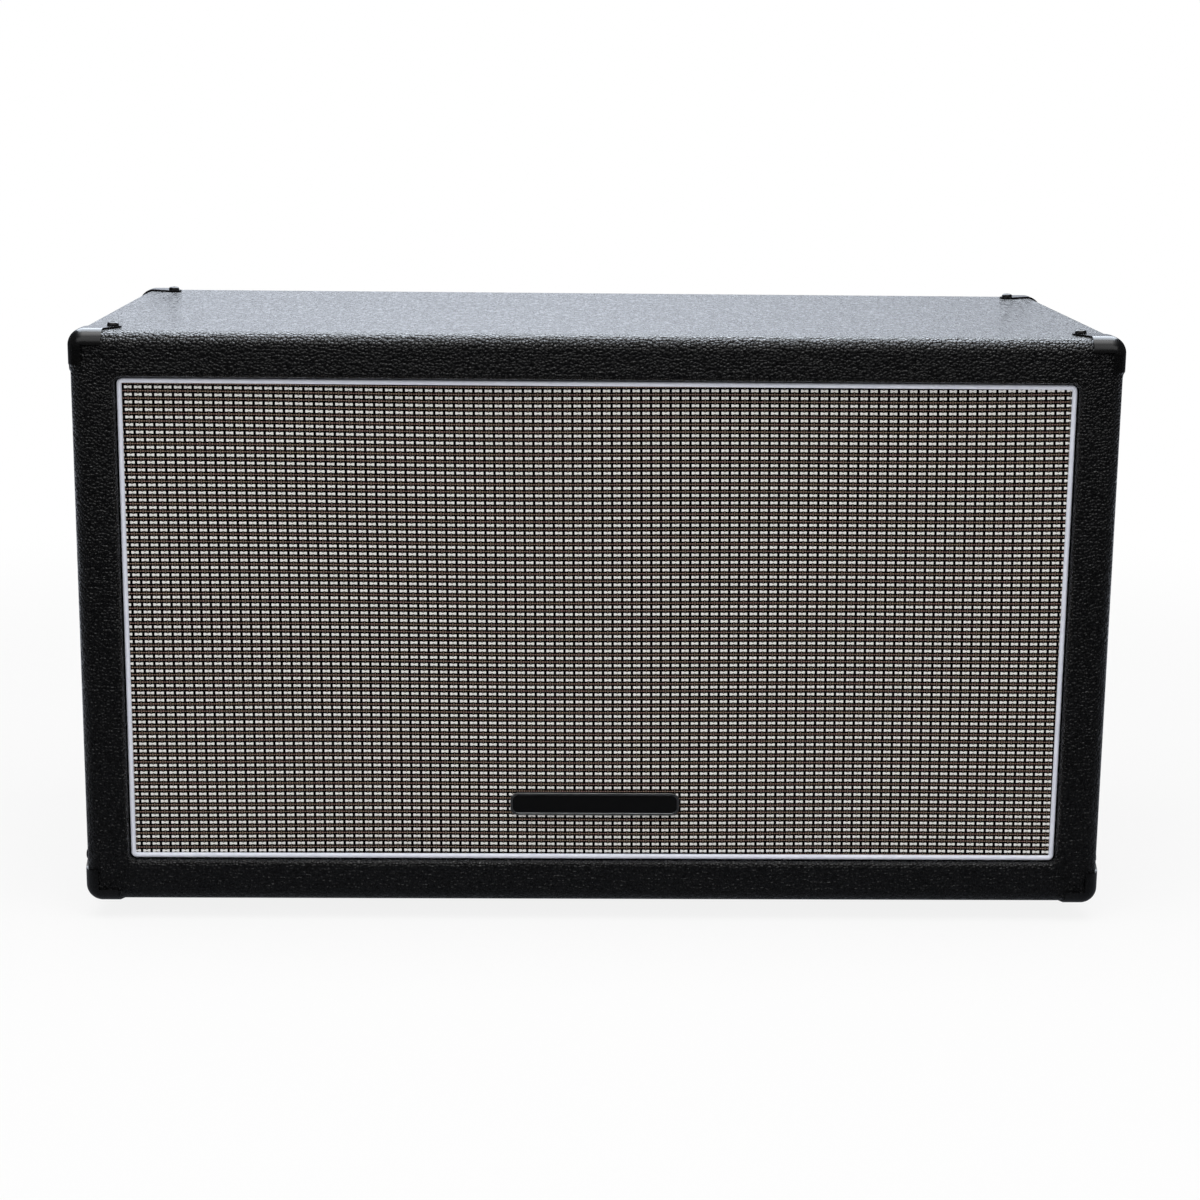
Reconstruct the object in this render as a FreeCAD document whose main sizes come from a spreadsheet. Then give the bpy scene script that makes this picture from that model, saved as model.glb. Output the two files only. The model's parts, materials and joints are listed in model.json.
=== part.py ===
import FreeCAD, Part
import math
import os
import re

import Sketcher

# A closed-back guitar speaker cabinet with two twelve-inch drivers.
# X runs across the width, Y from the grille at the front to the back panel, Z up.
# The origin is on the floor, below the middle of the cabinet. All lengths are millimetres.

V = FreeCAD.Vector
UP = V(0, 0, 1)
REARWARD = V(0, 1, 0)

# Driving dimensions

SIZES = {
    # Plywood box and its vinyl covering
    "cab_width": 760,
    "cab_depth": 350,
    "cab_height": 427,
    "edge_round": 11,
    "vinyl": 1,
    "ply": 18,
    "rabbet": 6,
    "fit_gap": 0.3,
    "overrun": 5,
    # Front frame and its opening
    "rail_depth": 18,
    "frame_side": 32.4,
    "frame_top": 33,
    "frame_bottom": 32,
    "opening_round": 5,
    "opening_edge_round": 4,
    # Grille
    "piping_recess": 5,
    "piping_width": 3.6,
    "piping_round": 1.7,
    "piping_gap": 0.8,
    "cloth_recess": 6.5,
    "cloth_thick": 1.2,
    "grille_rail": 30,
    "grille_mullion": 24,
    # Blank badge
    "badge_width": 126,
    "badge_height": 17,
    "badge_thick": 2.4,
    "badge_rim": 1.6,
    "badge_field": 0.7,
    "badge_rise": 76,
    "badge_round": 6,
    "stud_radius": 1.5,
    "stud_length": 5,
    "stud_inset": 18,
    "push_nut_radius": 5,
    "push_nut_thick": 1,
    # Back panel, cleats and centre brace
    "back_recess": 8,
    "back_ply": 15,
    "back_edge_round": 3,
    "cleat": 20,
    "brace_width": 24,
    "brace_height": 120,
    "brace_screw_inset": 25,
    # Corner protectors
    "corner_wall": 1.5,
    "corner_leg": 24,
    "corner_lip": 9.5,
    "corner_throat": 9.5,
    "corner_screw_inset": 28.3,
    "corner_tip_round": 6.2,
    "corner_tip_angle": 40,
    "corner_neck_round": 5,
    # Wood screws, each with a pan head and a cross recess
    "screw_radius": 2,
    "screw_tip": 3,
    "screw_head_radius": 4.3,
    "screw_head": 2.6,
    "screw_head_round": 2,
    "screw_slot_width": 1.1,
    "screw_slot_length": 4.8,
    "screw_slot_depth": 1.3,
    "screw_clearance": 0.15,
    "corner_screw_length": 18,
    "handle_screw_length": 16,
    "foot_screw_length": 18,
    "jack_plate_screw_length": 14,
    "back_screw_length": 30,
    "baffle_screw_length": 26,
    "speaker_screw_length": 16,
    "edge_screw_inset": 60,
    # Side handles
    "handle_y": 10,
    "handle_rise": 232,
    "flange_width": 196,
    "flange_height": 116,
    "flange_thick": 3.2,
    "flange_round": 14,
    "tub_width": 160,
    "tub_height": 82,
    "tub_depth": 54,
    "tub_wall": 3,
    "tub_round": 14,
    "grip_height": 28,
    "grip_depth": 24,
    "grip_round": 9,
    "handle_screw_inset": 9,
    # Rubber feet
    "foot_height": 14,
    "foot_radius": 19,
    "foot_taper": 2,
    "foot_inset": 70,
    "foot_seat": 6,
    "foot_bore_radius": 6.5,
    # Rear connector plate
    "plate_width": 132,
    "plate_height": 58,
    "plate_thick": 2,
    "plate_round": 6,
    "plate_rise": 100,
    "plate_screw_inset": 7,
    "plate_cutout_width": 108,
    "plate_cutout_height": 38,
    "jack_spacing": 72,
    "jack_bush_radius": 4.7,
    "jack_bush_reach": 4.6,
    "jack_body_width": 20,
    "jack_body_height": 18,
    "jack_body_depth": 26,
    "jack_bore_radius": 3.25,
    "jack_bore_depth": 30,
    "jack_nut_radius": 7.4,
    "jack_nut_thick": 2.6,
    "thread_clearance": 0.15,
    # Mono and stereo slide switch
    "switch_width": 26,
    "switch_height": 14,
    "switch_depth": 12,
    "switch_travel": 5,
    "knob_width": 6,
    "knob_height": 5,
    "knob_reach": 3,
    "slider_base_width": 10,
    "slider_base_height": 8,
    "slider_base_thick": 2.5,
    "switch_play": 0.3,
    # Twelve-inch driver: the room round its rim, then depths behind the mounting face of the baffle
    "driver_side_gap": 34.5,
    "driver_end_gap": 40,
    "driver_brace_gap": 5.5,
    "rim_overlap": 13,
    "rim_width": 20.5,
    "rim_screw_inset": 6,
    "gasket_thick": 3,
    "gasket_inset": 0.5,
    "steel": 1.5,
    "spider_ledge_depth": 64,
    "spider_ledge_inner": 58,
    "spider_ledge_outer": 70,
    "basket_depth": 80,
    "basket_floor_inner": 30,
    "window_ledge_margin": 10,
    "window_rim_margin": 14,
    "window_width": 66,
    "cone_edge_gap": 6,
    "cone_flange": 4,
    "cone_depth": 60,
    "cone_paper": 0.8,
    "neck_length": 2,
    "former_radius": 25.4,
    "former_wall": 0.4,
    "former_front": 54,
    "former_back": 92,
    "winding_thick": 0.6,
    "winding_front": 76,
    "winding_back": 90,
    "glue_gap": 0.1,
    "cap_radius": 33,
    "cap_rise": 12,
    "cap_paper": 0.6,
    "surround_thick": 0.6,
    "surround_wave": 4,
    "surround_flange": 7,
    "spider_thick": 0.6,
    "spider_wave": 3,
    "spider_flange": 6,
    "top_plate_radius": 62,
    "top_plate_thick": 8,
    "magnet_inner": 34,
    "magnet_radius": 78,
    "magnet_thick": 18,
    "yoke_radius": 62,
    "yoke_thick": 8,
    "pole_radius": 24.4,
    "pole_vent": 8,
    "coil_gap": 0.8,
    "terminal_width": 20,
    "terminal_thick": 8,
    "terminal_reach": 16,
    # Internal speaker leads
    "lead_radius": 2.2,
}

# Places along an edge, as shares of the spread between its end screws
EDGE_SCREW_SHARES = (-1, -1 / 2, 0, 1 / 2, 1)
SIDE_SCREW_SHARES = (-1 / 2, 1 / 2)
BAFFLE_SCREW_SHARES = (-1, -1 / 3, 1 / 3, 1)
WAVE_COUNT = 3
SCREWS_PER_SPEAKER = 8
WINDOWS_PER_SPEAKER = 4
# Corner radius of a basket window, as a share of its reach along a radius
WINDOW_ROUND_SHARE = 0.2

doc = FreeCAD.newDocument("speaker_cabinet")
dim = doc.addObject("Spreadsheet::Sheet", "dim")
for row, (name, number) in enumerate(SIZES.items(), 1):
    dim.set(f"A{row}", name)
    dim.set(f"B{row}", str(number))
    dim.setAlias(f"B{row}", name)
doc.recompute()

pieces = []


# Helpers that bind every size and place to the sheet


def formula(text):
    """The text with each name of the sheet written as the sheet's own cell."""
    return re.sub(r"[a-z][a-z_]*", lambda m: f"dim.{m[0]}" if m[0] in SIZES else m[0], text)


def value(text):
    """The present number of a formula, to start a sketch near its solution."""
    return float(dim.evalExpression(formula(text)))


def bind(obj, prop, text):
    obj.setExpression(prop, formula(text))


def put(obj, place, rotation=None):
    """Places an object at three formulas, with a fixed rotation."""
    if rotation is not None:
        obj.Placement = FreeCAD.Placement(V(), rotation)
    for axis, text in zip("xyz", place):
        bind(obj, f"Placement.Base.{axis}", text)
    return obj


def piece(label, obj):
    """Names an object as one sub-part of the cabinet."""
    obj.Label = label
    pieces.append(obj)
    return obj


def size_box(box, low, high):
    for prop, start, end in zip(("Length", "Width", "Height"), low, high):
        bind(box, prop, f"({end}) - ({start})")
    put(box, low)


def block(name, low, high):
    """A box from its low corner to its high corner."""
    box = doc.addObject("Part::Box", name)
    size_box(box, low, high)
    return box


def round_edges(body, base, edges, radius):
    """Rounds the numbered edges of the last feature of a body."""
    fillet = body.newObject("PartDesign::Fillet", f"{body.Name}_rounding")
    fillet.Base = (base, [f"Edge{i}" for i in edges])
    bind(fillet, "Radius", radius)
    body.Tip = fillet
    return fillet


def edges_along(shape, direction):
    """The numbers of the straight edges that run along a direction, or of all edges if it is None."""
    found = []
    for number, edge in enumerate(shape.Edges, 1):
        run = edge.Vertexes[-1].Point - edge.Vertexes[0].Point
        if direction is None or run.cross(direction).Length < 1e-6:
            found.append(number)
    return found


def rounded_block(name, low, high, radius, direction=None):
    """A box whose edges along a direction, or all of them, are rounded."""
    body = doc.addObject("PartDesign::Body", name)
    box = body.newObject("PartDesign::AdditiveBox", f"{name}_box")
    size_box(box, low, high)
    doc.recompute()
    round_edges(body, box, edges_along(box.Shape, direction), radius)
    return body


def softened(name, base, in_loop, radius):
    """A copy of a shape with the edges that pass a test rounded."""
    doc.recompute()
    body = doc.addObject("PartDesign::Body", name)
    body.BaseFeature = base
    doc.recompute()
    start = body.Group[0]
    chosen = [i for i, edge in enumerate(start.Shape.Edges, 1) if in_loop(edge)]
    round_edges(body, start, chosen, radius)
    return body


def boolean(kind, name, base, tool):
    made = doc.addObject(f"Part::{kind}", name)
    made.Base = base
    made.Tool = tool
    return made


def cut(name, base, *tools):
    for number, tool in enumerate(tools):
        base = boolean("Cut", f"{name}_cut{number}", base, tool)
    return base


def fuse(name, base, *others):
    for number, other in enumerate(others):
        base = boolean("Fuse", f"{name}_fuse{number}", base, other)
    return base


def common(name, base, tool):
    return boolean("Common", name, base, tool)


def group(name, members):
    made = doc.addObject("Part::Compound", name)
    made.Links = members
    return made


def copy_of(source, name, place, rotation=None):
    """A linked copy of a modelled piece at its own place."""
    link = doc.addObject("App::Link", name)
    link.LinkedObject = source
    return put(link, place, rotation)


def mirrored(name, source, axis, through="0"):
    """A mirror image across the plane at a place along one axis."""
    image = doc.addObject("Part::Mirroring", name)
    image.Source = source
    image.Normal = V(*(1.0 if a == axis else 0.0 for a in "xyz"))
    bind(image, f"Base.{axis}", through)
    return image


def sketch_outline(body, name, plane, outline):
    """A closed sketch on an origin plane.

    Each point is two formulas. A third formula is the radius of an arc to the next point, which turns
    the same way as the outline does.
    """
    sketch = body.newObject("Sketcher::SketchObject", name)
    support = next(o for o in body.Origin.OriginFeatures if o.Role == f"{plane}_Plane")
    sketch.AttachmentSupport = [(support, "")]
    sketch.MapMode = "FlatFace"
    spots = [V(value(p[0]), value(p[1]), 0) for p in outline]
    turn = sum(a.cross(b).z for a, b in zip(spots, spots[1:] + spots[:1]))
    for number, point in enumerate(outline):
        start = spots[number]
        end = spots[(number + 1) % len(outline)]
        if len(point) == 2:
            sketch.addGeometry(Part.LineSegment(start, end), False)
            continue
        radius = value(point[2])
        chord = end - start
        outward = V(chord.y, -chord.x, 0) * math.copysign(1 / chord.Length, turn)
        sagitta = radius - math.sqrt(max(radius**2 - (chord.Length / 2) ** 2, 0))
        crest = (start + end) / 2 + outward * sagitta
        first, last = (start, end) if turn > 0 else (end, start)
        sketch.addGeometry(Part.Arc(first, crest, last), False)
    count = len(outline)
    ends = []
    for number, geometry in enumerate(sketch.Geometry):
        begins_here = (geometry.StartPoint - spots[number]).Length < 1e-6
        ends.append((1, 2) if begins_here else (2, 1))
    for number, point in enumerate(outline):
        following = (number + 1) % count
        sketch.addConstraint(
            Sketcher.Constraint("Coincident", number, ends[number][1], following, ends[following][0])
        )
        for kind, text in (("DistanceX", point[0]), ("DistanceY", point[1])):
            rule = Sketcher.Constraint(kind, -1, 1, number, ends[number][0], value(text))
            bind(sketch, f"Constraints[{sketch.addConstraint(rule)}]", text)
        if len(point) > 2:
            rule = Sketcher.Constraint("Radius", number, value(point[2]))
            bind(sketch, f"Constraints[{sketch.addConstraint(rule)}]", point[2])
    return sketch


def turned(name, outline):
    """A piece turned about its own Z axis from an outline of radius and height."""
    body = doc.addObject("PartDesign::Body", name)
    sketch = sketch_outline(body, f"{name}_profile", "XZ", outline)
    turning = body.newObject("PartDesign::Revolution", f"{name}_turning")
    turning.Profile = sketch
    turning.ReferenceAxis = (sketch, ["V_Axis"])
    turning.Angle = 360
    body.Tip = turning
    return body


def prism(name, plane, outline, offset, length):
    """A straight prism over an outline, from an offset along the plane's normal."""
    body = doc.addObject("PartDesign::Body", name)
    sketch = sketch_outline(body, f"{name}_profile", plane, outline)
    bind(sketch, "AttachmentOffset.Base.z", offset)
    pad = body.newObject("PartDesign::Pad", f"{name}_pad")
    pad.Profile = sketch
    bind(pad, "Length", length)
    body.Tip = pad
    return body


# Planes of the cabinet that several pieces share

LEFT = "-cab_width/2"
RIGHT = "cab_width/2"
FRONT = "-cab_depth/2"
BACK = "cab_depth/2"
BOTTOM = "foot_height"
TOP = "foot_height + cab_height"
MIDDLE = "foot_height + cab_height/2"
INSIDE_X = "(cab_width/2 - vinyl - ply)"
INSIDE_LOW = "(foot_height + vinyl + ply)"
INSIDE_HIGH = "(foot_height + cab_height - vinyl - ply)"
BAFFLE_FRONT = "(-cab_depth/2 + vinyl + rail_depth)"
BAFFLE_BACK = "(-cab_depth/2 + vinyl + rail_depth + ply)"
PANEL_BACK = "(cab_depth/2 - back_recess)"
PANEL_FRONT = "(cab_depth/2 - back_recess - back_ply)"
OPENING_X = "(cab_width/2 - frame_side)"
OPENING_LOW = "(foot_height + frame_bottom)"
OPENING_HIGH = "(foot_height + cab_height - frame_top)"
GRILLE_X = f"({OPENING_X} - piping_gap - piping_width)"
GRILLE_LOW = f"({OPENING_LOW} + piping_gap + piping_width)"
GRILLE_HIGH = f"({OPENING_HIGH} - piping_gap - piping_width)"
GRILLE_ROUND = "opening_round - piping_gap - piping_width"
CLOTH_BACK = "(-cab_depth/2 + cloth_recess + cloth_thick)"

# Radii of a driver, whose rim fills the room beside the brace and between the top and bottom panels

RIM_BY_WIDTH = f"({INSIDE_X} - brace_width/2 - driver_brace_gap - driver_side_gap)/2"
RIM_BY_HEIGHT = f"({INSIDE_HIGH} - {INSIDE_LOW})/2 - driver_end_gap"
RIM = f"min({RIM_BY_WIDTH}; {RIM_BY_HEIGHT})"
CUTOUT = f"({RIM} - rim_overlap)"
MOUTH = f"({RIM} - rim_width)"
SCREW_CIRCLE = f"({RIM} - rim_screw_inset)"
CONE_EDGE = f"({MOUTH} - cone_edge_gap)"
SPEAKER_X = f"(brace_width/2 + driver_brace_gap + {RIM})"


def shrunk(*margins):
    """The low and high corners of the cabinet, taken in by a margin along each axis."""
    x, y, z = margins
    low = (f"{LEFT} + ({x})", f"{FRONT} + ({y})", f"{BOTTOM} + ({z})")
    high = (f"{RIGHT} - ({x})", f"{BACK} - ({y})", f"{TOP} - ({z})")
    return low, high


# Fasteners


def pan_head_screw(name, length):
    """A wood screw along Z with the underside of its head at zero, and the drill that clears it."""
    shank = turned(
        f"{name}_turned",
        (
            ("0", f"-{length}"),
            ("screw_radius", f"screw_tip - {length}"),
            ("screw_radius", "0"),
            ("screw_head_radius", "0"),
            ("screw_head_radius", "screw_head"),
            ("0", "screw_head"),
        ),
    )
    doc.recompute()
    turning = shank.Tip
    crown = value("screw_head")
    rims = [
        i
        for i, edge in enumerate(turning.Shape.Edges, 1)
        if edge.BoundBox.ZMin > crown - 1e-6 and edge.BoundBox.XLength > crown
    ]
    round_edges(shank, turning, rims, "screw_head_round")
    slots = []
    for axis, (wide, tall) in enumerate(
        (("screw_slot_length", "screw_slot_width"), ("screw_slot_width", "screw_slot_length"))
    ):
        slots.append(
            block(
                f"{name}_slot{axis}",
                (f"-{wide}/2", f"-{tall}/2", "screw_head - screw_slot_depth"),
                (f"{wide}/2", f"{tall}/2", "screw_head + overrun"),
            )
        )
    hole = "screw_radius + screw_clearance"
    hole_end = f"-{length} - screw_clearance"
    drill = turned(f"{name}_drill", (("0", hole_end), (hole, hole_end), (hole, "overrun"), ("0", "overrun")))
    return cut(name, shank, *slots), drill


def facing(direction):
    return FreeCAD.Rotation(UP, direction)


def drive(name, screw, places, direction):
    """Screws at several places with their heads facing one direction, and the drills for their holes."""
    model, drill = screw
    heads = []
    drills = []
    for number, place in enumerate(places):
        heads.append(copy_of(model, f"{name}_{number}", place, facing(direction)))
        drills.append(copy_of(drill, f"{name}_hole_{number}", place, facing(direction)))
    return group(name, heads), group(f"{name}_holes", drills)


# Solid envelopes: the covered box and the bare wooden box, each with its front and back openings


def envelope(name, margin, front_edge, back_edge):
    """The cabinet's outer form taken in by a margin, with the openings that the margin widens."""
    low, high = shrunk(margin, margin, margin)
    outside = rounded_block(f"{name}_outside", low, high, f"edge_round - {margin}")
    front_hole = rounded_block(
        f"{name}_front_hole",
        (f"-{OPENING_X} - {margin}", f"{FRONT} - overrun", f"{OPENING_LOW} - {margin}"),
        (f"{OPENING_X} + {margin}", BAFFLE_FRONT, f"{OPENING_HIGH} + {margin}"),
        f"opening_round + {margin}",
        REARWARD,
    )
    back_hole = block(
        f"{name}_back_hole",
        (f"-{INSIDE_X} + vinyl - {margin}", PANEL_BACK, f"{INSIDE_LOW} + vinyl - {margin}"),
        (f"{INSIDE_X} - vinyl + {margin}", f"{BACK} + overrun", f"{INSIDE_HIGH} - vinyl + {margin}"),
    )
    hollow = cut(f"{name}_hollow", outside, front_hole, back_hole)
    inside_x = value(INSIDE_X)
    front = value(f"{FRONT} + {margin}")
    back = value(f"{BACK} - {margin}")

    def on_front(edge):
        box = edge.BoundBox
        return abs(box.YMin - front) + abs(box.YMax - front) < 1e-3 and max(-box.XMin, box.XMax) < inside_x

    def on_back(edge):
        box = edge.BoundBox
        reach = max(-box.XMin, box.XMax)
        return abs(box.YMin - back) + abs(box.YMax - back) < 1e-3 and reach < inside_x + 1e-3

    eased = softened(f"{name}_front_eased", hollow, on_front, front_edge)
    return softened(f"{name}_eased", eased, on_back, back_edge)


covered = envelope("covered", "0", "opening_edge_round", "back_edge_round")
wooden = envelope("wooden", "vinyl", "opening_edge_round - vinyl", "back_edge_round - vinyl")


# Side handles: a flange, a tub and a grip moulded in one piece

HANDLE_Z = "(foot_height + handle_rise)"


def handle_box(half_width, half_height, from_x, to_x):
    low = (from_x, f"handle_y - {half_width}", f"{HANDLE_Z} - {half_height}")
    high = (to_x, f"handle_y + {half_width}", f"{HANDLE_Z} + {half_height}")
    return low, high


def handle_cup():
    """The right-hand cup. Its flange lies on the covering and its tub reaches into the cabinet."""
    face = f"({RIGHT} + flange_thick)"
    across = V(1, 0, 0)
    flange = rounded_block(
        "handle_flange", *handle_box("flange_width/2", "flange_height/2", RIGHT, face), "flange_round", across
    )
    tub = rounded_block(
        "handle_tub",
        *handle_box("tub_width/2", "tub_height/2", f"{face} - tub_depth", face),
        "tub_round",
        across,
    )
    hollow = rounded_block(
        "handle_hollow",
        *handle_box(
            "(tub_width/2 - tub_wall)",
            "(tub_height/2 - tub_wall)",
            f"{face} - tub_depth + tub_wall",
            f"{face} + tub_round + overrun",
        ),
        "tub_round - tub_wall",
    )
    grip_low, grip_high = handle_box("(tub_width/2 - tub_wall)", "(tub_height/2 - tub_wall)", face, face)
    grip = rounded_block(
        "handle_grip",
        (f"{face} - grip_depth", grip_low[1], f"{grip_high[2]} - grip_height"),
        (face, grip_high[1], f"{grip_high[2]} + tub_wall/2"),
        "grip_round",
        REARWARD,
    )
    shell = cut("handle_shell", fuse("handle_blank", flange, tub), hollow)
    return fuse("handle_cup", shell, common("handle_grip_trimmed", grip, tub))


handle_hole = rounded_block(
    "handle_hole",
    *handle_box(
        "(tub_width/2 + fit_gap)",
        "(tub_height/2 + fit_gap)",
        f"{RIGHT} - tub_depth",
        f"{RIGHT} + overrun",
    ),
    "tub_round + fit_gap",
    V(1, 0, 0),
)
handle_holes = group("handle_holes", [handle_hole, mirrored("handle_hole_left", handle_hole, "x")])

handle_screw_places = [
    (
        f"{RIGHT} + flange_thick",
        f"handle_y + ({y})*(flange_width/2 - handle_screw_inset)",
        f"{HANDLE_Z} + ({z})*(flange_height/2 - handle_screw_inset)",
    )
    for y in (-1, 0, 1)
    for z in (-1, 1)
]
handle_screws_right, handle_drills_right = drive(
    "handle_screws_right",
    pan_head_screw("handle_screw", "handle_screw_length"),
    handle_screw_places,
    V(1, 0, 0),
)
handle_screws = group(
    "handle_screw_set",
    [handle_screws_right, mirrored("handle_screws_left", handle_screws_right, "x")],
)
handle_drills = group(
    "handle_drill_set",
    [handle_drills_right, mirrored("handle_drills_left", handle_drills_right, "x")],
)
right_handle = cut("right_handle_drilled", handle_cup(), handle_drills_right)
piece("right_handle_cup", right_handle)
piece("left_handle_cup", mirrored("left_handle_mirrored", right_handle, "x"))
piece("handle_screws", handle_screws)


# Corner protectors: a shell over the covered box, trimmed to a lip and two tongues


def corner_outline(along, across):
    """A tongue on the diagonal of a corner, from two distances written as text with a length in them."""
    outside = "-corner_wall - overrun"
    tip_far = "corner_screw_inset + corner_tip_round*cos(corner_tip_angle)"
    tip_near = "corner_screw_inset - corner_tip_round*sin(corner_tip_angle)"
    points = (
        (outside, outside),
        ("corner_leg", outside),
        ("corner_leg", "corner_throat"),
        (tip_far, tip_near, "corner_tip_round"),
        (tip_near, tip_far),
        ("corner_throat", "corner_leg"),
        (outside, "corner_leg"),
    )
    return [(along.format(p[0]), across.format(p[1]), *p[2:]) for p in points]


def corner_mask(name, plane, along, across, offset):
    body = prism(name, plane, corner_outline(along, across), offset, "corner_lip + corner_wall + overrun")
    doc.recompute()
    pad = body.Tip
    normal = V(0, 0, 1) if plane == "XY" else V(1, 0, 0)
    necks = (
        (value(along.format("corner_leg")), value(across.format("corner_throat"))),
        (value(along.format("corner_throat")), value(across.format("corner_leg"))),
    )
    chosen = []
    for number in edges_along(pad.Shape, normal):
        spot = pad.Shape.Edges[number - 1].CenterOfMass
        flat = (spot.x, spot.y) if plane == "XY" else (spot.y, spot.z)
        if min(math.dist(flat, neck) for neck in necks) < 1e-3:
            chosen.append(number)
    round_edges(body, pad, chosen, "corner_neck_round")
    return body


def corner_protector():
    """The front top left protector, seated on the covering."""
    low, high = shrunk("-corner_wall", "-corner_wall", "-corner_wall")
    outer = rounded_block("corner_outer", low, high, "edge_round + corner_wall")
    low, high = shrunk("0", "0", "0")
    inner = rounded_block("corner_inner", low, high, "edge_round")
    from_left = f"{LEFT} + ({{}})"
    from_front = f"{FRONT} + ({{}})"
    from_top = f"{TOP} - ({{}})"
    top_mask = corner_mask("corner_top_mask", "XY", from_left, from_front, f"{TOP} - corner_lip")
    side_mask = corner_mask(
        "corner_side_mask", "YZ", from_front, from_top, f"{LEFT} - corner_wall - overrun"
    )
    shell = cut("corner_shell", outer, inner)
    return common("corner_blank", shell, fuse("corner_masks", top_mask, side_mask))


corner_screw = pan_head_screw("corner_screw", "corner_screw_length")
top_seat = (f"{LEFT} + corner_screw_inset", f"{FRONT} + corner_screw_inset", f"{TOP} + corner_wall")
side_seat = (f"{LEFT} - corner_wall", f"{FRONT} + corner_screw_inset", f"{TOP} - corner_screw_inset")
top_screw, top_drill = drive("corner_top_screw", corner_screw, [top_seat], UP)
side_screw, side_drill = drive("corner_side_screw", corner_screw, [side_seat], V(-1, 0, 0))
first_corner = cut("corner_drilled", corner_protector(), top_drill, side_drill)


def eight_fold(name, source):
    """A source at the front top left corner and its mirror images at the other seven corners."""
    found = {"front_top_left": source}
    for axis, through, old, new in (
        ("x", "0", "left", "right"),
        ("z", MIDDLE, "top", "bottom"),
        ("y", "0", "front", "rear"),
    ):
        for place, obj in list(found.items()):
            image = place.replace(old, new)
            found[image] = mirrored(f"{name}_{image}", obj, axis, through)
    return found


for place, protector in eight_fold("protector", first_corner).items():
    piece(f"corner_{place}", protector)
pair_of_screws = group("corner_screw_pair", [top_screw, side_screw])
pair_of_drills = group("corner_drill_pair", [top_drill, side_drill])
piece("corner_screws", group("corner_screw_set", list(eight_fold("screws", pair_of_screws).values())))
corner_drills = group("corner_drill_set", list(eight_fold("drills", pair_of_drills).values()))


# Rubber feet


def foot():
    """A tapered foot along Z from the floor, bored for its screw and counterbored for the head."""
    return turned(
        "foot_turned",
        (
            ("foot_bore_radius", "0"),
            ("foot_radius - foot_taper", "0"),
            ("foot_radius", "foot_height"),
            ("screw_radius + screw_clearance", "foot_height"),
            ("screw_radius + screw_clearance", "foot_height - foot_seat"),
            ("foot_bore_radius", "foot_height - foot_seat"),
        ),
    )


foot_spots = [
    (f"({x})*(cab_width/2 - foot_inset)", f"({y})*(cab_depth/2 - foot_inset)")
    for x in (-1, 1)
    for y in (-1, 1)
]
foot_model = foot()
feet = [copy_of(foot_model, f"foot_{i}", (x, y, "0")) for i, (x, y) in enumerate(foot_spots)]
piece("rubber_feet", group("feet", feet))
foot_screws, foot_drills = drive(
    "foot_screw_set",
    pan_head_screw("foot_screw", "foot_screw_length"),
    [(x, y, "foot_height - foot_seat") for x, y in foot_spots],
    V(0, 0, -1),
)
piece("foot_screws", foot_screws)


# Plywood panels, rabbeted at the corners, and the front frame behind the covering


def horizontal_panel(name, low_z, high_z, rabbet_low, rabbet_high):
    """A full-width panel whose ends are stepped for the side panels."""
    low, high = shrunk("vinyl", "vinyl", "vinyl")
    board = common(f"{name}_board", wooden, block(f"{name}_stock", (*low[:2], low_z), (*high[:2], high_z)))
    steps = []
    for end, (start, stop) in {
        "left": (f"{low[0]} - overrun", f"-{INSIDE_X}"),
        "right": (INSIDE_X, f"{high[0]} + overrun"),
    }.items():
        steps.append(
            block(
                f"{name}_{end}_step",
                (start, f"{FRONT} - overrun", rabbet_low),
                (stop, f"{BACK} + overrun", rabbet_high),
            )
        )
    return cut(name, board, *steps, corner_drills)


top_panel = horizontal_panel(
    "top_board", INSIDE_HIGH, f"{TOP} - vinyl", f"{INSIDE_HIGH} - overrun", f"{INSIDE_HIGH} + rabbet"
)
piece("top_panel", top_panel)
bottom_panel = horizontal_panel(
    "bottom_board", f"{BOTTOM} + vinyl", INSIDE_LOW, f"{INSIDE_LOW} - rabbet", f"{INSIDE_LOW} + overrun"
)
piece("bottom_panel", cut("bottom_board_drilled", bottom_panel, foot_drills))

for side, start, stop in (
    ("left", f"{LEFT} + vinyl", f"-{INSIDE_X}"),
    ("right", INSIDE_X, f"{RIGHT} - vinyl"),
):
    stock = block(
        f"{side}_stock",
        (start, FRONT, f"{INSIDE_LOW} - rabbet"),
        (stop, BACK, f"{INSIDE_HIGH} + rabbet"),
    )
    board = common(f"{side}_board", wooden, stock)
    piece(f"{side}_side_panel", cut(f"{side}_panel", board, handle_holes, handle_drills, corner_drills))

frame_stock = {
    "top": ((f"-{INSIDE_X}", FRONT, f"{OPENING_HIGH} + vinyl"), (INSIDE_X, BAFFLE_FRONT, INSIDE_HIGH)),
    "bottom": ((f"-{INSIDE_X}", FRONT, INSIDE_LOW), (INSIDE_X, BAFFLE_FRONT, f"{OPENING_LOW} - vinyl")),
    "left": (
        (f"-{INSIDE_X}", FRONT, f"{OPENING_LOW} - vinyl"),
        (f"-{OPENING_X} + opening_round", BAFFLE_FRONT, f"{OPENING_HIGH} + vinyl"),
    ),
    "right": (
        (f"{OPENING_X} - opening_round", FRONT, f"{OPENING_LOW} - vinyl"),
        (INSIDE_X, BAFFLE_FRONT, f"{OPENING_HIGH} + vinyl"),
    ),
}
rails = [
    common(f"frame_{side}", wooden, block(f"frame_{side}_stock", low, high))
    for side, (low, high) in frame_stock.items()
]

vinyl_skin = cut("skin", covered, wooden, handle_holes, handle_drills, corner_drills, foot_drills)
piece("vinyl_covering", vinyl_skin)


# Baffle with its two cut-outs, and the screws that hold it to the front frame and the grille to it

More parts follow.
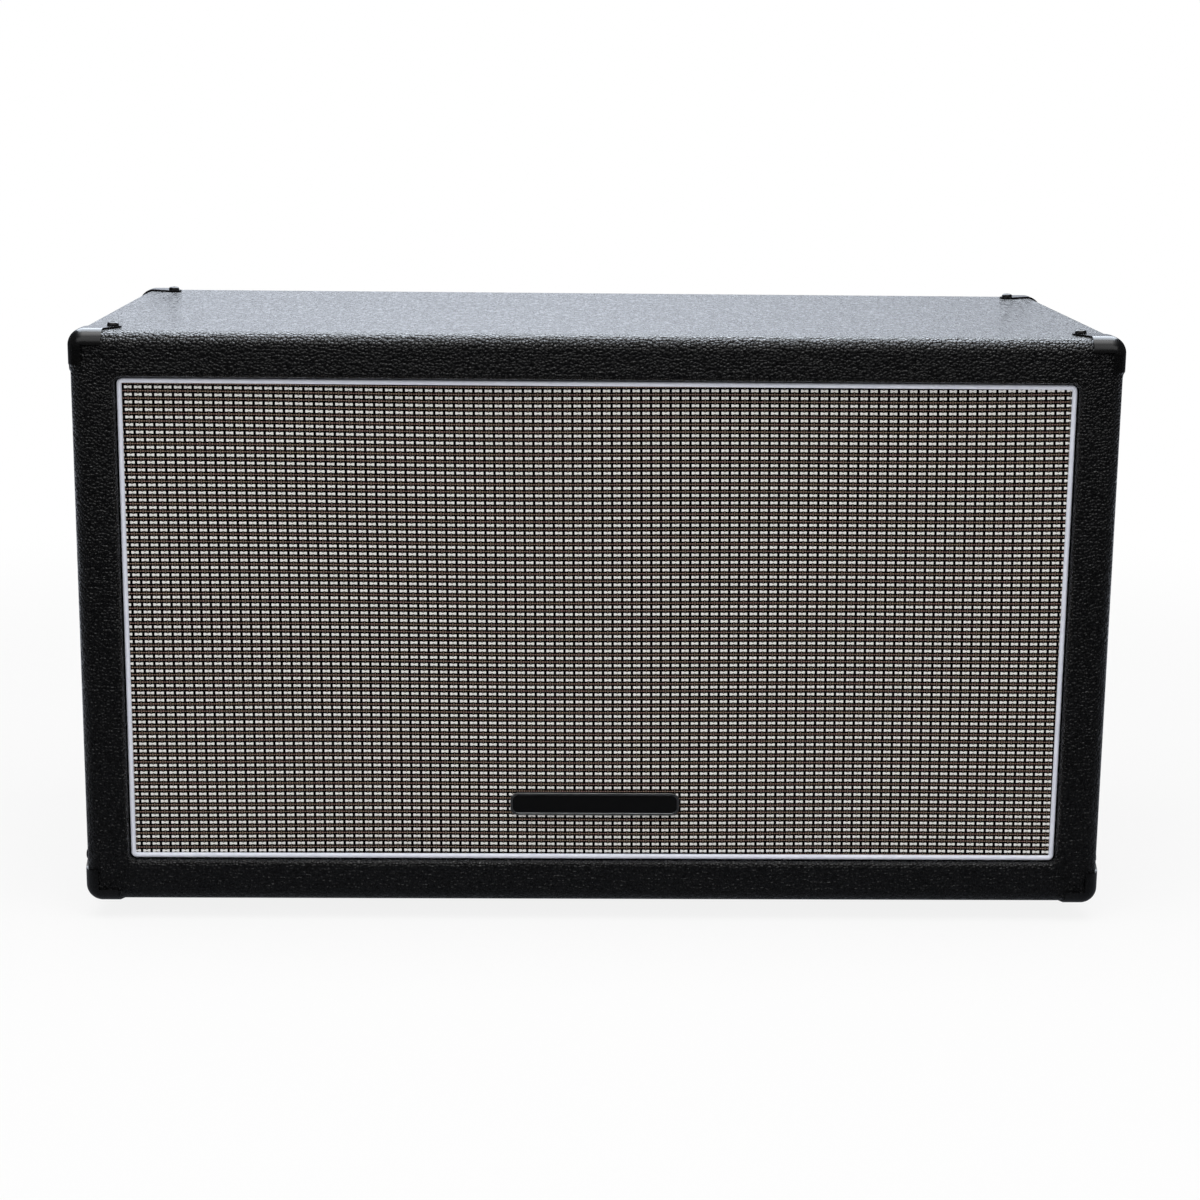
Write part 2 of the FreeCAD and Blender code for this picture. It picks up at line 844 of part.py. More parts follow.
SPEAKER_SIDES = {"left": f"-{SPEAKER_X}", "right": SPEAKER_X}


def disc(name, radius, start, end, x, z):
    """A cylinder along Y."""
    made = doc.addObject("Part::Cylinder", name)
    bind(made, "Radius", radius)
    bind(made, "Height", f"({end}) - ({start})")
    return put(made, (x, start, z), facing(REARWARD))


rail_x = f"({OPENING_X} + vinyl + {INSIDE_X})/2"
rail_low = f"({OPENING_LOW} - vinyl + {INSIDE_LOW})/2"
rail_high = f"({OPENING_HIGH} + vinyl + {INSIDE_HIGH})/2"
baffle_screw_places = [
    (f"({share})*({OPENING_X} - edge_screw_inset)", BAFFLE_BACK, z)
    for share in BAFFLE_SCREW_SHARES
    for z in (rail_low, rail_high)
]
baffle_screw_places += [
    (f"({side})*{rail_x}", BAFFLE_BACK, f"{MIDDLE} + ({share})*cab_height/2")
    for side in (-1, 1)
    for share in SIDE_SCREW_SHARES
]
baffle_screw_places += [
    (f"({side})*({GRILLE_X} - grille_rail/2)", BAFFLE_BACK, z)
    for side in (-1, 1)
    for z in (f"{GRILLE_LOW} + grille_rail/2", f"{GRILLE_HIGH} - grille_rail/2")
]
baffle_screws, baffle_drills = drive(
    "baffle_screw_set",
    pan_head_screw("baffle_screw", "baffle_screw_length"),
    baffle_screw_places,
    REARWARD,
)
piece("baffle_screws", baffle_screws)
piece("front_frame", cut("front_frame_drilled", group("front_rails", rails), baffle_drills))

speaker_screw_model = pan_head_screw("speaker_screw", "speaker_screw_length")
RIM_BACK = f"{BAFFLE_BACK} + gasket_thick + steel"
speaker_screws = {}
speaker_drills = {}
for side, x in SPEAKER_SIDES.items():
    angles = [(k + 0.5) * 360 / SCREWS_PER_SPEAKER for k in range(SCREWS_PER_SPEAKER)]
    places = [
        (f"{x} + {SCREW_CIRCLE}*cos({a})", RIM_BACK, f"{MIDDLE} + {SCREW_CIRCLE}*sin({a})") for a in angles
    ]
    speaker_screws[side], speaker_drills[side] = drive(
        f"{side}_speaker_screw", speaker_screw_model, places, REARWARD
    )
piece("speaker_screws", group("speaker_screw_set", list(speaker_screws.values())))

baffle_stock = block(
    "baffle_stock",
    (f"-{INSIDE_X} + fit_gap", BAFFLE_FRONT, f"{INSIDE_LOW} + fit_gap"),
    (f"{INSIDE_X} - fit_gap", BAFFLE_BACK, f"{INSIDE_HIGH} - fit_gap"),
)
cutouts = [
    disc(
        f"{side}_cutout",
        CUTOUT,
        f"{BAFFLE_FRONT} - overrun",
        f"{BAFFLE_BACK} + overrun",
        x,
        MIDDLE,
    )
    for side, x in SPEAKER_SIDES.items()
]
piece("baffle_board", cut("baffle", baffle_stock, *cutouts, baffle_drills, *speaker_drills.values()))


# Grille: a board frame with a centre bar, the cloth, the white piping round it and a blank badge


def grille_block(name, taken_in, front, back, radius):
    return rounded_block(
        name,
        (f"-{GRILLE_X} + ({taken_in})", front, f"{GRILLE_LOW} + ({taken_in})"),
        (f"{GRILLE_X} - ({taken_in})", back, f"{GRILLE_HIGH} - ({taken_in})"),
        radius,
        REARWARD,
    )


piping_outer = grille_block(
    "piping_outer", "-piping_width", f"{FRONT} + piping_recess", BAFFLE_FRONT, "opening_round - piping_gap"
)
piping_inner = grille_block(
    "piping_inner", "0", f"{FRONT} - overrun", f"{BAFFLE_FRONT} + overrun", GRILLE_ROUND
)
piping_front = value(f"{FRONT} + piping_recess")
piping = softened(
    "piping",
    cut("piping_ring", piping_outer, piping_inner),
    lambda edge: abs(edge.BoundBox.YMin - piping_front) + abs(edge.BoundBox.YMax - piping_front) < 1e-3,
    "piping_round",
)
piece("grille_piping", piping)

grille_outer = grille_block("grille_outer", "fit_gap", CLOTH_BACK, BAFFLE_FRONT, GRILLE_ROUND)
windows = []
for side, (start, stop) in {
    "left": (f"-{GRILLE_X} + grille_rail", "-grille_mullion/2"),
    "right": ("grille_mullion/2", f"{GRILLE_X} - grille_rail"),
}.items():
    windows.append(
        block(
            f"grille_window_{side}",
            (start, f"{FRONT} - overrun", f"{GRILLE_LOW} + grille_rail"),
            (stop, f"{BAFFLE_FRONT} + overrun", f"{GRILLE_HIGH} - grille_rail"),
        )
    )
piece("grille_frame", cut("grille_board", grille_outer, *windows, baffle_drills))

BADGE_Z = "(foot_height + badge_rise)"
BADGE_FRONT = f"{FRONT} + cloth_recess - badge_thick"


def badge_box(name, taken_in, front, back, radius):
    return rounded_block(
        name,
        (f"-badge_width/2 + ({taken_in})", front, f"{BADGE_Z} - badge_height/2 + ({taken_in})"),
        (f"badge_width/2 - ({taken_in})", back, f"{BADGE_Z} + badge_height/2 - ({taken_in})"),
        radius,
        REARWARD,
    )


badge_body = badge_box("badge_body", "0", BADGE_FRONT, f"{FRONT} + cloth_recess", "badge_round")
badge_pocket = badge_box(
    "badge_pocket",
    "badge_rim",
    f"{BADGE_FRONT} - overrun",
    f"{BADGE_FRONT} + badge_field",
    "badge_round - badge_rim",
)
CLOTH_FRONT = f"{FRONT} + cloth_recess"
studs = []
stud_holes = []
push_nuts = []
for side in (-1, 1):
    x = f"({side})*(badge_width/2 - stud_inset)"
    studs.append(disc(f"stud_{side}", "stud_radius", CLOTH_FRONT, f"{CLOTH_FRONT} + stud_length", x, BADGE_Z))
    hole = disc(
        f"stud_hole_{side}",
        "stud_radius + screw_clearance",
        f"{CLOTH_FRONT} - overrun",
        f"{CLOTH_BACK} + stud_length",
        x,
        BADGE_Z,
    )
    stud_holes.append(hole)
    nut_back = f"{CLOTH_BACK} + push_nut_thick"
    nut = disc(f"push_nut_{side}", "push_nut_radius", CLOTH_BACK, nut_back, x, BADGE_Z)
    push_nuts.append(cut(f"push_nut_bored_{side}", nut, hole))
piece("badge_plate", fuse("badge", cut("badge_dished", badge_body, badge_pocket), *studs))
piece("badge_push_nuts", group("push_nuts", push_nuts))
cloth_sheet = grille_block("cloth_sheet", "0", CLOTH_FRONT, CLOTH_BACK, GRILLE_ROUND)
piece("grille_cloth", cut("cloth", cloth_sheet, *stud_holes))


# Back panel on its cleats, with a brace to the baffle

cleat_front = f"({PANEL_FRONT} - cleat)"
cleat_stock = {
    "top": (
        (f"-{INSIDE_X}", cleat_front, f"{INSIDE_HIGH} - cleat"),
        (INSIDE_X, PANEL_FRONT, INSIDE_HIGH),
    ),
    "bottom": (
        (f"-{INSIDE_X}", cleat_front, INSIDE_LOW),
        (INSIDE_X, PANEL_FRONT, f"{INSIDE_LOW} + cleat"),
    ),
    "left": (
        (f"-{INSIDE_X}", cleat_front, f"{INSIDE_LOW} + cleat"),
        (f"-{INSIDE_X} + cleat", PANEL_FRONT, f"{INSIDE_HIGH} - cleat"),
    ),
    "right": (
        (f"{INSIDE_X} - cleat", cleat_front, f"{INSIDE_LOW} + cleat"),
        (INSIDE_X, PANEL_FRONT, f"{INSIDE_HIGH} - cleat"),
    ),
}
cleats = group("cleats", [block(f"cleat_{side}", low, high) for side, (low, high) in cleat_stock.items()])
brace = block(
    "brace",
    ("-brace_width/2", BAFFLE_BACK, f"{MIDDLE} - brace_height/2"),
    ("brace_width/2", PANEL_FRONT, f"{MIDDLE} + brace_height/2"),
)
back_screw_places = [
    (f"({share})*({INSIDE_X} - edge_screw_inset)", PANEL_BACK, z)
    for share in EDGE_SCREW_SHARES
    for z in (f"{INSIDE_LOW} + cleat/2", f"{INSIDE_HIGH} - cleat/2")
]
back_screw_places += [
    (f"({side})*({INSIDE_X} - cleat/2)", PANEL_BACK, f"{MIDDLE} + ({share})*cab_height/3")
    for side in (-1, 1)
    for share in SIDE_SCREW_SHARES
]
back_screw_places += [
    ("0", PANEL_BACK, f"{MIDDLE} + ({side})*(brace_height/2 - brace_screw_inset)") for side in (-1, 1)
]
back_screws, back_drills = drive(
    "back_screw_set", pan_head_screw("back_screw", "back_screw_length"), back_screw_places, REARWARD
)
piece("back_panel_screws", back_screws)
piece("back_cleats", cut("cleats_drilled", cleats, back_drills))
piece("centre_brace", cut("brace_drilled", brace, back_drills))


# Rear connector plate with two jacks and a slide switch

PLATE_Z = "(foot_height + plate_rise)"
PLATE_BACK = f"({PANEL_BACK} + plate_thick)"


def centred_box(name, x, half_width, half_height, front, back, radius=None):
    low = (f"{x} - {half_width}", front, f"{PLATE_Z} - {half_height}")
    high = (f"{x} + {half_width}", back, f"{PLATE_Z} + {half_height}")
    if radius is None:
        return block(name, low, high)
    return rounded_block(name, low, high, radius, REARWARD)


plate_screws, plate_drills = drive(
    "plate_screw_set",
    pan_head_screw("plate_screw", "jack_plate_screw_length"),
    [
        (
            f"({x})*(plate_width/2 - plate_screw_inset)",
            PLATE_BACK,
            f"{PLATE_Z} + ({z})*(plate_height/2 - plate_screw_inset)",
        )
        for x in (-1, 1)
        for z in (-1, 1)
    ],
    REARWARD,
)
piece("jack_plate_screws", plate_screws)

back_stock = block(
    "back_stock",
    (f"-{INSIDE_X} + fit_gap", PANEL_FRONT, f"{INSIDE_LOW} + fit_gap"),
    (f"{INSIDE_X} - fit_gap", PANEL_BACK, f"{INSIDE_HIGH} - fit_gap"),
)
plate_window = centred_box(
    "plate_window",
    "0",
    "plate_cutout_width/2",
    "plate_cutout_height/2",
    f"{PANEL_FRONT} - overrun",
    f"{PANEL_BACK} + overrun",
)
piece("back_panel", cut("back_board", back_stock, plate_window, back_drills, plate_drills))

plate_blank = centred_box(
    "plate_blank", "0", "plate_width/2", "plate_height/2", PANEL_BACK, PLATE_BACK, "plate_round"
)
JACK_SIDES = {"left": "-jack_spacing/2", "right": "jack_spacing/2"}
jack_nuts = []
jack_openings = []
for side, x in JACK_SIDES.items():
    mouth = f"({PLATE_BACK} + jack_bush_reach)"
    jack_openings.append(
        disc(
            f"{side}_jack_opening",
            "jack_bush_radius + thread_clearance",
            f"{PANEL_BACK} - overrun",
            f"{PLATE_BACK} + overrun",
            x,
            PLATE_Z,
        )
    )
    bush = disc(f"{side}_bush", "jack_bush_radius", PANEL_BACK, mouth, x, PLATE_Z)
    shell = centred_box(
        f"{side}_jack_shell",
        x,
        "jack_body_width/2",
        "jack_body_height/2",
        f"{PANEL_BACK} - jack_body_depth",
        PANEL_BACK,
    )
    bore_end = f"{mouth} - jack_bore_depth"
    bore = disc(f"{side}_jack_bore", "jack_bore_radius", bore_end, f"{mouth} + overrun", x, PLATE_Z)
    piece(f"{side}_input_jack", cut(f"{side}_jack", fuse(f"{side}_jack_blank", bush, shell), bore))
    hexagon = doc.addObject("Part::Prism", f"{side}_nut_hexagon")
    hexagon.Polygon = 6
    bind(hexagon, "Circumradius", "jack_nut_radius")
    bind(hexagon, "Height", "jack_nut_thick")
    put(hexagon, (x, PLATE_BACK, PLATE_Z), facing(REARWARD))
    thread = disc(
        f"{side}_nut_thread",
        "jack_bush_radius + thread_clearance",
        f"{PLATE_BACK} - overrun",
        f"{PLATE_BACK} + jack_nut_thick + overrun",
        x,
        PLATE_Z,
    )
    jack_nuts.append(cut(f"{side}_nut", hexagon, thread))
piece("jack_nuts", group("nuts", jack_nuts))

# The slider rests at its left stop and travels to the right
switch_slot_half = "(knob_width/2 + switch_travel/2 + switch_play)"
switch_slot = centred_box(
    "switch_slot",
    "0",
    switch_slot_half,
    "(knob_height/2 + switch_play)",
    f"{PANEL_BACK} - overrun",
    f"{PLATE_BACK} + overrun",
)
piece("jack_plate", cut("plate", plate_blank, *jack_openings, switch_slot, plate_drills))
switch_case = centred_box(
    "switch_case", "0", "switch_width/2", "switch_height/2", f"{PANEL_BACK} - switch_depth", PANEL_BACK
)
slider_track = centred_box(
    "slider_track",
    "0",
    "(slider_base_width/2 + switch_travel/2 + switch_play)",
    "(slider_base_height/2 + switch_play)",
    f"{PANEL_BACK} - slider_base_thick - 2*switch_play",
    f"{PANEL_BACK} + overrun",
)
piece("mode_switch_body", cut("switch_body", switch_case, slider_track))
slider_x = "(-switch_travel/2)"
slider_base = centred_box(
    "slider_base",
    slider_x,
    "slider_base_width/2",
    "slider_base_height/2",
    f"{PANEL_BACK} - slider_base_thick - switch_play",
    f"{PANEL_BACK} - switch_play",
)
slider_knob = centred_box(
    "slider_knob",
    slider_x,
    "knob_width/2",
    "knob_height/2",
    f"{PANEL_BACK} - slider_base_thick",
    f"{PLATE_BACK} + knob_reach",
)
piece("mode_switch_slider", fuse("slider", slider_base, slider_knob))


# Drivers. Their outlines hold radius and depth behind the mounting face.


def wavy_ring(name, inner, outer, inner_flange, outer_flange, depth, wave, thick):
    """A thin ring with flat flanges and corrugations between them that rise towards the front."""
    start = f"({inner} + {inner_flange})"
    span = f"({outer} - {outer_flange} - {start})"
    line = [(inner, depth), (start, depth)]
    for step in range(1, 2 * WAVE_COUNT):
        height = f"{depth} - {wave}" if step % 2 else depth
        line.append((f"{start} + {span}*{step}/{2 * WAVE_COUNT}", height))
    line += [(f"{outer} - {outer_flange}", depth), (outer, depth)]
    behind = [(r, f"{z} - {thick}") for r, z in reversed(line)]
    return turned(name, line + behind)


def basket_outline():
    ledge = "spider_ledge_depth"
    return (
        (RIM, "gasket_thick"),
        (RIM, "gasket_thick + steel"),
        (f"{MOUTH} + steel", "gasket_thick + steel"),
        ("spider_ledge_outer + steel/2", f"{ledge} + steel"),
        ("spider_ledge_inner + steel", f"{ledge} + steel"),
        ("spider_ledge_inner + steel", "basket_depth"),
        ("basket_floor_inner", "basket_depth"),
        ("basket_floor_inner", "basket_depth - steel"),
        ("spider_ledge_inner", "basket_depth - steel"),
        ("spider_ledge_inner", ledge),
        ("spider_ledge_outer", ledge),
        (MOUTH, "gasket_thick"),
    )


def ring_outline(inner, outer, front, back):
    return ((inner, front), (outer, front), (outer, back), (inner, back))


def cone_outline():
    flange_start = f"({CONE_EDGE} - cone_flange)"
    neck = "(former_radius + glue_gap)"
    return (
        (CONE_EDGE, "gasket_thick"),
        (CONE_EDGE, "gasket_thick + cone_paper"),
        (flange_start, "gasket_thick + cone_paper"),
        (neck, "cone_depth + neck_length"),
        (neck, "cone_depth"),
        (flange_start, "gasket_thick"),
    )


# Depth of the cone's front face at the rim of the dust cap
CONE_FALL = f"(cone_depth - gasket_thick)/({CONE_EDGE} - cone_flange - former_radius - glue_gap)"
CAP_DEPTH = f"(cone_depth - (cap_radius - former_radius - glue_gap)*{CONE_FALL})"
CAP_BALL = "((cap_radius*cap_radius + cap_rise*cap_rise)/(2*cap_rise))"


def dome(name):
    """The cap is a shell between two balls, cut off at its rim."""
    outer = doc.addObject("Part::Sphere", f"{name}_outer")
    bind(outer, "Radius", CAP_BALL)
    inner = doc.addObject("Part::Sphere", f"{name}_inner")
    bind(inner, "Radius", f"{CAP_BALL} - cap_paper")
    return outer, inner


def voice_coil_outline():
    inner = "(former_radius - former_wall)"
    wound = "(former_radius + winding_thick)"
    return (
        (inner, "former_front"),
        (inner, "former_back"),
        ("former_radius", "former_back"),
        ("former_radius", "winding_back"),
        (wound, "winding_back"),
        (wound, "winding_front"),
        ("former_radius", "winding_front"),
        ("former_radius", "former_front"),
    )


def yoke_outline():
    plate_front = "(basket_depth + top_plate_thick + magnet_thick)"
    return (
        ("pole_vent", "basket_depth"),
        ("pole_vent", f"{plate_front} + yoke_thick"),
        ("yoke_radius", f"{plate_front} + yoke_thick"),
        ("yoke_radius", plate_front),
        ("pole_radius", plate_front),
        ("pole_radius", "basket_depth"),
    )


# Radius of the basket's sloping wall where the terminal block stands on it
WALL_SLOPE = f"({MOUTH} - spider_ledge_outer)/(spider_ledge_depth - gasket_thick)"
WALL_AT_TERMINAL = f"(spider_ledge_outer + (terminal_thick - steel)*{WALL_SLOPE})"


def speaker(side, x):
    """One driver: its frame, magnet and moving cone on the line through the middle of its cut-out."""
    place = (x, BAFFLE_BACK, MIDDLE)
    inward = 1 if side == "left" else -1

    def mounted(name, outline):
        return put(turned(f"{side}_{name}_turned", outline), place, facing(REARWARD))

    def add(name, obj):
        piece(f"{side}_speaker_{name}", obj)

    window_inner = "(spider_ledge_outer + window_ledge_margin)"
    window_outer = f"({MOUTH} - window_rim_margin)"
    window = rounded_block(
        f"{side}_window",
        (window_inner, "-window_width/2", "gasket_thick + steel + fit_gap"),
        (window_outer, "window_width/2", "spider_ledge_depth - steel"),
        f"{WINDOW_ROUND_SHARE}*({window_outer} - {window_inner})",
        UP,
    )
    windows = [
        copy_of(
            window,
            f"{side}_window_{k}",
            place,
            facing(REARWARD) * FreeCAD.Rotation(UP, (k + 0.5) * 360 / WINDOWS_PER_SPEAKER),
        )
        for k in range(WINDOWS_PER_SPEAKER)
    ]
    terminal_x = f"({x} + ({inward})*({WALL_AT_TERMINAL} + terminal_reach/2))"
    terminal_back = f"({BAFFLE_BACK} + spider_ledge_depth + steel)"
    terminal_front = f"{terminal_back} - terminal_thick"
    terminal = block(
        f"{side}_terminal",
        (f"{terminal_x} - terminal_reach/2", terminal_front, f"{MIDDLE} - terminal_width/2"),
        (f"{terminal_x} + terminal_reach/2", terminal_back, f"{MIDDLE} + terminal_width/2"),
    )
    bare = mounted("basket", basket_outline())
    open_frame = cut(f"{side}_basket_open", bare, group(f"{side}_windows", windows), speaker_drills[side])
    add("basket", fuse(f"{side}_basket", open_frame, terminal))
    gasket = mounted("gasket", ring_outline(f"{CUTOUT} + gasket_inset", RIM, "0", "gasket_thick"))
    add("gasket", cut(f"{side}_gasket", gasket, speaker_drills[side]))
    add(
        "surround",
        put(
            wavy_ring(
                f"{side}_surround",
                f"({CONE_EDGE} - cone_flange)",
                f"({MOUTH} + surround_flange)",
                "cone_flange",
                "surround_flange",
                "gasket_thick",
                "surround_wave",
                "surround_thick",
            ),
            place,
            facing(REARWARD),
        ),
    )
    add("cone", mounted("cone", cone_outline()))
    add("voice_coil", mounted("voice_coil", voice_coil_outline()))
    outer, inner = dome(f"{side}_cap")
    centre_y = f"{BAFFLE_BACK} + {CAP_DEPTH} - cap_rise + {CAP_BALL}"
    for ball in (outer, inner):
        put(ball, (x, centre_y, MIDDLE), facing(REARWARD))
    rim_plane = f"{BAFFLE_BACK} + {CAP_DEPTH}"
    front_part = disc(f"{side}_cap_trim", "cap_radius", f"{rim_plane} - 2*cap_rise", rim_plane, x, MIDDLE)
    add("dust_cap", common(f"{side}_cap", cut(f"{side}_cap_shell", outer, inner), front_part))
    add(
        "spider",
        put(
            wavy_ring(
                f"{side}_spider",
                "(former_radius + glue_gap)",
                "(spider_ledge_outer - steel)",
                "spider_flange",
                "spider_flange",
                "spider_ledge_depth",
                "spider_wave",
                "spider_thick",
            ),
            place,
            facing(REARWARD),
        ),
    )
    plate_back = "(basket_depth + top_plate_thick)"
    gap_radius = "(former_radius + winding_thick + coil_gap)"
    top_plate = ring_outline(gap_radius, "top_plate_radius", "basket_depth", plate_back)
    add("top_plate", mounted("top_plate", top_plate))
    magnet_back = f"({plate_back} + magnet_thick)"
    magnet = ring_outline("magnet_inner", "magnet_radius", plate_back, magnet_back)
    add("magnet", mounted("magnet", magnet))
    add("yoke", mounted("yoke", yoke_outline()))


for side, x in SPEAKER_SIDES.items():
    speaker(side, x)


# Leads from the jacks to the terminals, as straight runs joined by tangent arcs

# Points of the right-hand lead from the back of its jack to its terminal, chosen by hand
LEAD_POINTS = (
    (36, 141, 114),
    (36, 116, 114),
    (42, 92, 130),
    (56, 66, 156),
    (72, 40, 186),
    (84, 12, 212),
    (86, -16, 225.5),
    (87, -44, 227.5),
    (87, -72.5, 227.5),
)
LEAD_BEND_SHARE = 0.45


def lead_path(points):
    edges = []
    start = points[0]
    for before, corner, after in zip(points, points[1:], points[2:]):
        arriving = corner - before
        leaving = after - corner
        turn = arriving.getAngle(leaving)
        reach = LEAD_BEND_SHARE * min(arriving.Length, leaving.Length)
        radius = reach / math.tan(turn / 2)
        arriving.normalize()
        leaving.normalize()
        into = corner - arriving * reach
        out = corner + leaving * reach
        inward = leaving - arriving
        inward.normalize()
        middle = corner + inward * (radius / math.cos(turn / 2) - radius)
        edges += [Part.LineSegment(start, into).toShape(), Part.Arc(into, middle, out).toShape()]
        start = out
        print(f"lead bend radius {radius:.1f}")
    edges.append(Part.LineSegment(start, points[-1]).toShape())
    return Part.Wire(edges)


def lead():
    """The right-hand lead, a round tube along its path."""
    path = lead_path([V(*p) for p in LEAD_POINTS])
    first = path.Edges[0]
    heading = first.tangentAt(first.FirstParameter)
    section = Part.Circle(first.Vertexes[0].Point, heading, value("lead_radius"))
    tube = path.makePipeShell([Part.Wire(section.toShape())], True, False)
    expected = math.pi * value("lead_radius") ** 2 * path.Length
    print(f"lead length {path.Length:.1f}, volume {tube.Volume:.1f} against {expected:.1f}")
    made = doc.addObject("Part::Feature", "lead")
    made.Shape = tube
    return made


right_lead = lead()
piece("speaker_leads", group("leads", [right_lead, mirrored("left_lead", right_lead, "x")]))


# Check every object and write each sub-part

doc.recompute()
for obj in doc.Objects:
    if {"Invalid", "Error"} & set(obj.State):
        raise RuntimeError(f"{obj.Name} ({obj.Label}) failed: {obj.State}")
for obj in pieces:
    if obj.Shape.isNull() or not obj.Shape.isValid() or not obj.Shape.Solids:
        raise RuntimeError(f"{obj.Label} has no valid solid")

os.makedirs("parts", exist_ok=True)
for obj in pieces:
    obj.Shape.exportStep(f"parts/{obj.Label}.step")
    box = obj.Shape.BoundBox
    spans = " x ".join(f"{span:.1f}" for span in (box.XLength, box.YLength, box.ZLength))
    print(f"{obj.Label}: {len(obj.Shape.Solids)} solids, {spans}")
print(f"{len(pieces)} sub-parts")
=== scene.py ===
# %% [markdown]
# # Dressing a guitar speaker cabinet
# The cabinet already exists as a CAD model: a plywood box under grained black vinyl, a framed grille at the
# front, moulded corners, side handles, and two drivers and their wiring inside. CAD gives every piece its
# true size and place. Blender adds what CAD leaves out: the weave of the cloth, the grain of the vinyl,
# softened edges, and light. This lesson goes piece by piece, and each step says what the real thing is first.

# %% Load the CAD model
import json
import math

import bmesh
import bpy
from bmesh.types import BMEdge, BMVert
from mathutils import Matrix, Vector


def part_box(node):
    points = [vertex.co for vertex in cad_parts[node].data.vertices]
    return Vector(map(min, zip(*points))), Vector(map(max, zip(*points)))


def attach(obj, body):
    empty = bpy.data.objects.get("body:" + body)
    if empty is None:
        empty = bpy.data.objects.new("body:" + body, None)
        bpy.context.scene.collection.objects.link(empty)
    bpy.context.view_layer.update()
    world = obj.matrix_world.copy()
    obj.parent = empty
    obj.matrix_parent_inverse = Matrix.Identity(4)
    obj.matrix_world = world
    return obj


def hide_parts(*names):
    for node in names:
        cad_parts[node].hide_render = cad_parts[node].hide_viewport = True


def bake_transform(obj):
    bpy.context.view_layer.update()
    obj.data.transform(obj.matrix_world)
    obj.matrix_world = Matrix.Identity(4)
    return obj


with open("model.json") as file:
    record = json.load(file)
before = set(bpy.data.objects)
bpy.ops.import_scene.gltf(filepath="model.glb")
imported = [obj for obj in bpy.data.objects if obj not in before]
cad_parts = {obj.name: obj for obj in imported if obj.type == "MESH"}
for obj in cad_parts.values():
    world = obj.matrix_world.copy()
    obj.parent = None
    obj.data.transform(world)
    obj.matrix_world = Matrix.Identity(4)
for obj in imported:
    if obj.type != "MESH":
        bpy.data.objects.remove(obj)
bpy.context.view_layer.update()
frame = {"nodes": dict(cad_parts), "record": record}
nodes = frame["nodes"]
scene = bpy.context.scene
MM = 0.001

# %% [markdown]
# ## Camera
# The picture was taken from in front, a little left of the middle and a little above the top of the cabinet.
# A camera fitted to the cabinet's edges gives its place, its turn and its focal length in pixels. Blender
# wants the focal length in millimetres on a sensor 36 mm wide, so the pixels are divided by the width of the
# picture and multiplied by the width of the sensor.

# %% Place the camera
PICTURE_PIXELS = 1200
FOCAL_PIXELS = 2433
SENSOR_MM = 36
CAMERA_PLACE = (-0.037, -1.916, 0.625)
CAMERA_TURN = (77.762, -0.59, -1.161)

camera_data = bpy.data.cameras.new("camera")
camera_data.sensor_width = SENSOR_MM
camera_data.lens = FOCAL_PIXELS / PICTURE_PIXELS * SENSOR_MM
camera = bpy.data.objects.new("camera", camera_data)
camera.location = CAMERA_PLACE
camera.rotation_euler = [math.radians(angle) for angle in CAMERA_TURN]
scene.collection.objects.link(camera)
scene.camera = camera
print(f"lens {camera_data.lens:.1f} mm")

# %% [markdown]
# ## Helpers for finishes
# Colours are written as the hex codes that a paint program shows. Blender mixes light in linear values, so
# one function converts them. A second function adds a node with its settings and its inputs in one call,
# which keeps each material short enough to read as a recipe. The others work out the scale of a pattern,
# start a material, and give a surface its colour and its relief.


# %% Colour and node helpers
def colour(code):
    """Linear red, green, blue and alpha of an sRGB hex code."""
    parts = [int(code[i : i + 2], 16) / 255 for i in (1, 3, 5)]
    return [c / 12.92 if c <= 0.04045 else ((c + 0.055) / 1.055) ** 2.4 for c in parts] + [1]


def node(tree, kind, inputs=None, stops=(), **settings):
    """Adds a shader node, links or sets its inputs, and gives back its outputs."""
    made = tree.nodes.new(kind)
    for name, setting in settings.items():
        setattr(made, name, setting)
    for name, given in (inputs or {}).items():
        if isinstance(given, bpy.types.NodeSocket):
            tree.links.new(given, made.inputs[name])
        else:
            made.inputs[name].default_value = given
    # The stops of a colour ramp are places and hex colours
    for number, (place, code) in enumerate(stops):
        stop = made.color_ramp.elements[number]
        stop.position, stop.color = place, colour(code)
    return made.outputs


def per_metre(size_mm):
    """The scale of a pattern that repeats every so many millimetres."""
    return 1 / (size_mm * MM)


def start_finish(name, roughness, metallic=0.0, specular=0.5):
    """A new material, its node tree, its surface shader and its Object coordinates."""
    material = bpy.data.materials.new(name)
    material.use_nodes = True
    tree = material.node_tree
    shader = tree.nodes["Principled BSDF"]
    shader.inputs["Roughness"].default_value = roughness
    shader.inputs["Metallic"].default_value = metallic
    shader.inputs["Specular IOR Level"].default_value = specular
    where = node(tree, "ShaderNodeTexCoord")["Object"]
    return material, tree, shader, where


def dress_surface(tree, shader, tone, height, depth_mm):
    """Gives a surface its colour and its relief, where a height of one stands for so many millimetres."""
    bump = node(tree, "ShaderNodeBump", {"Height": height, "Strength": 1.0, "Distance": depth_mm * MM})
    tree.links.new(tone, shader.inputs["Base Color"])
    tree.links.new(bump["Normal"], shader.inputs["Normal"])


print(f"a screen grey of 50% is {colour('#808080')[0]:.3f} in linear light")

# %% [markdown]
# ## Stage
# A pale sweep of paper: flat floor, a quarter turn, then a wall. It starts as one edge that is pulled back,
# spun and pulled up. What the camera sees of it is mostly a plain white glow, so the background stays even,
# while the rest is ordinary matt paper that takes the shadow of the cabinet. Glossy surfaces see a room of
# their own: bluish white behind the cabinet, and darker toward the front, the sides and the right.

# %% Sweep the floor into a backdrop
SWEEP_HALF_WIDTH = 8
SWEEP_FRONT, SWEEP_BACK = -7, 3
SWEEP_RADIUS = 1.6
SWEEP_STEPS = 24
WALL_HEIGHT = 5


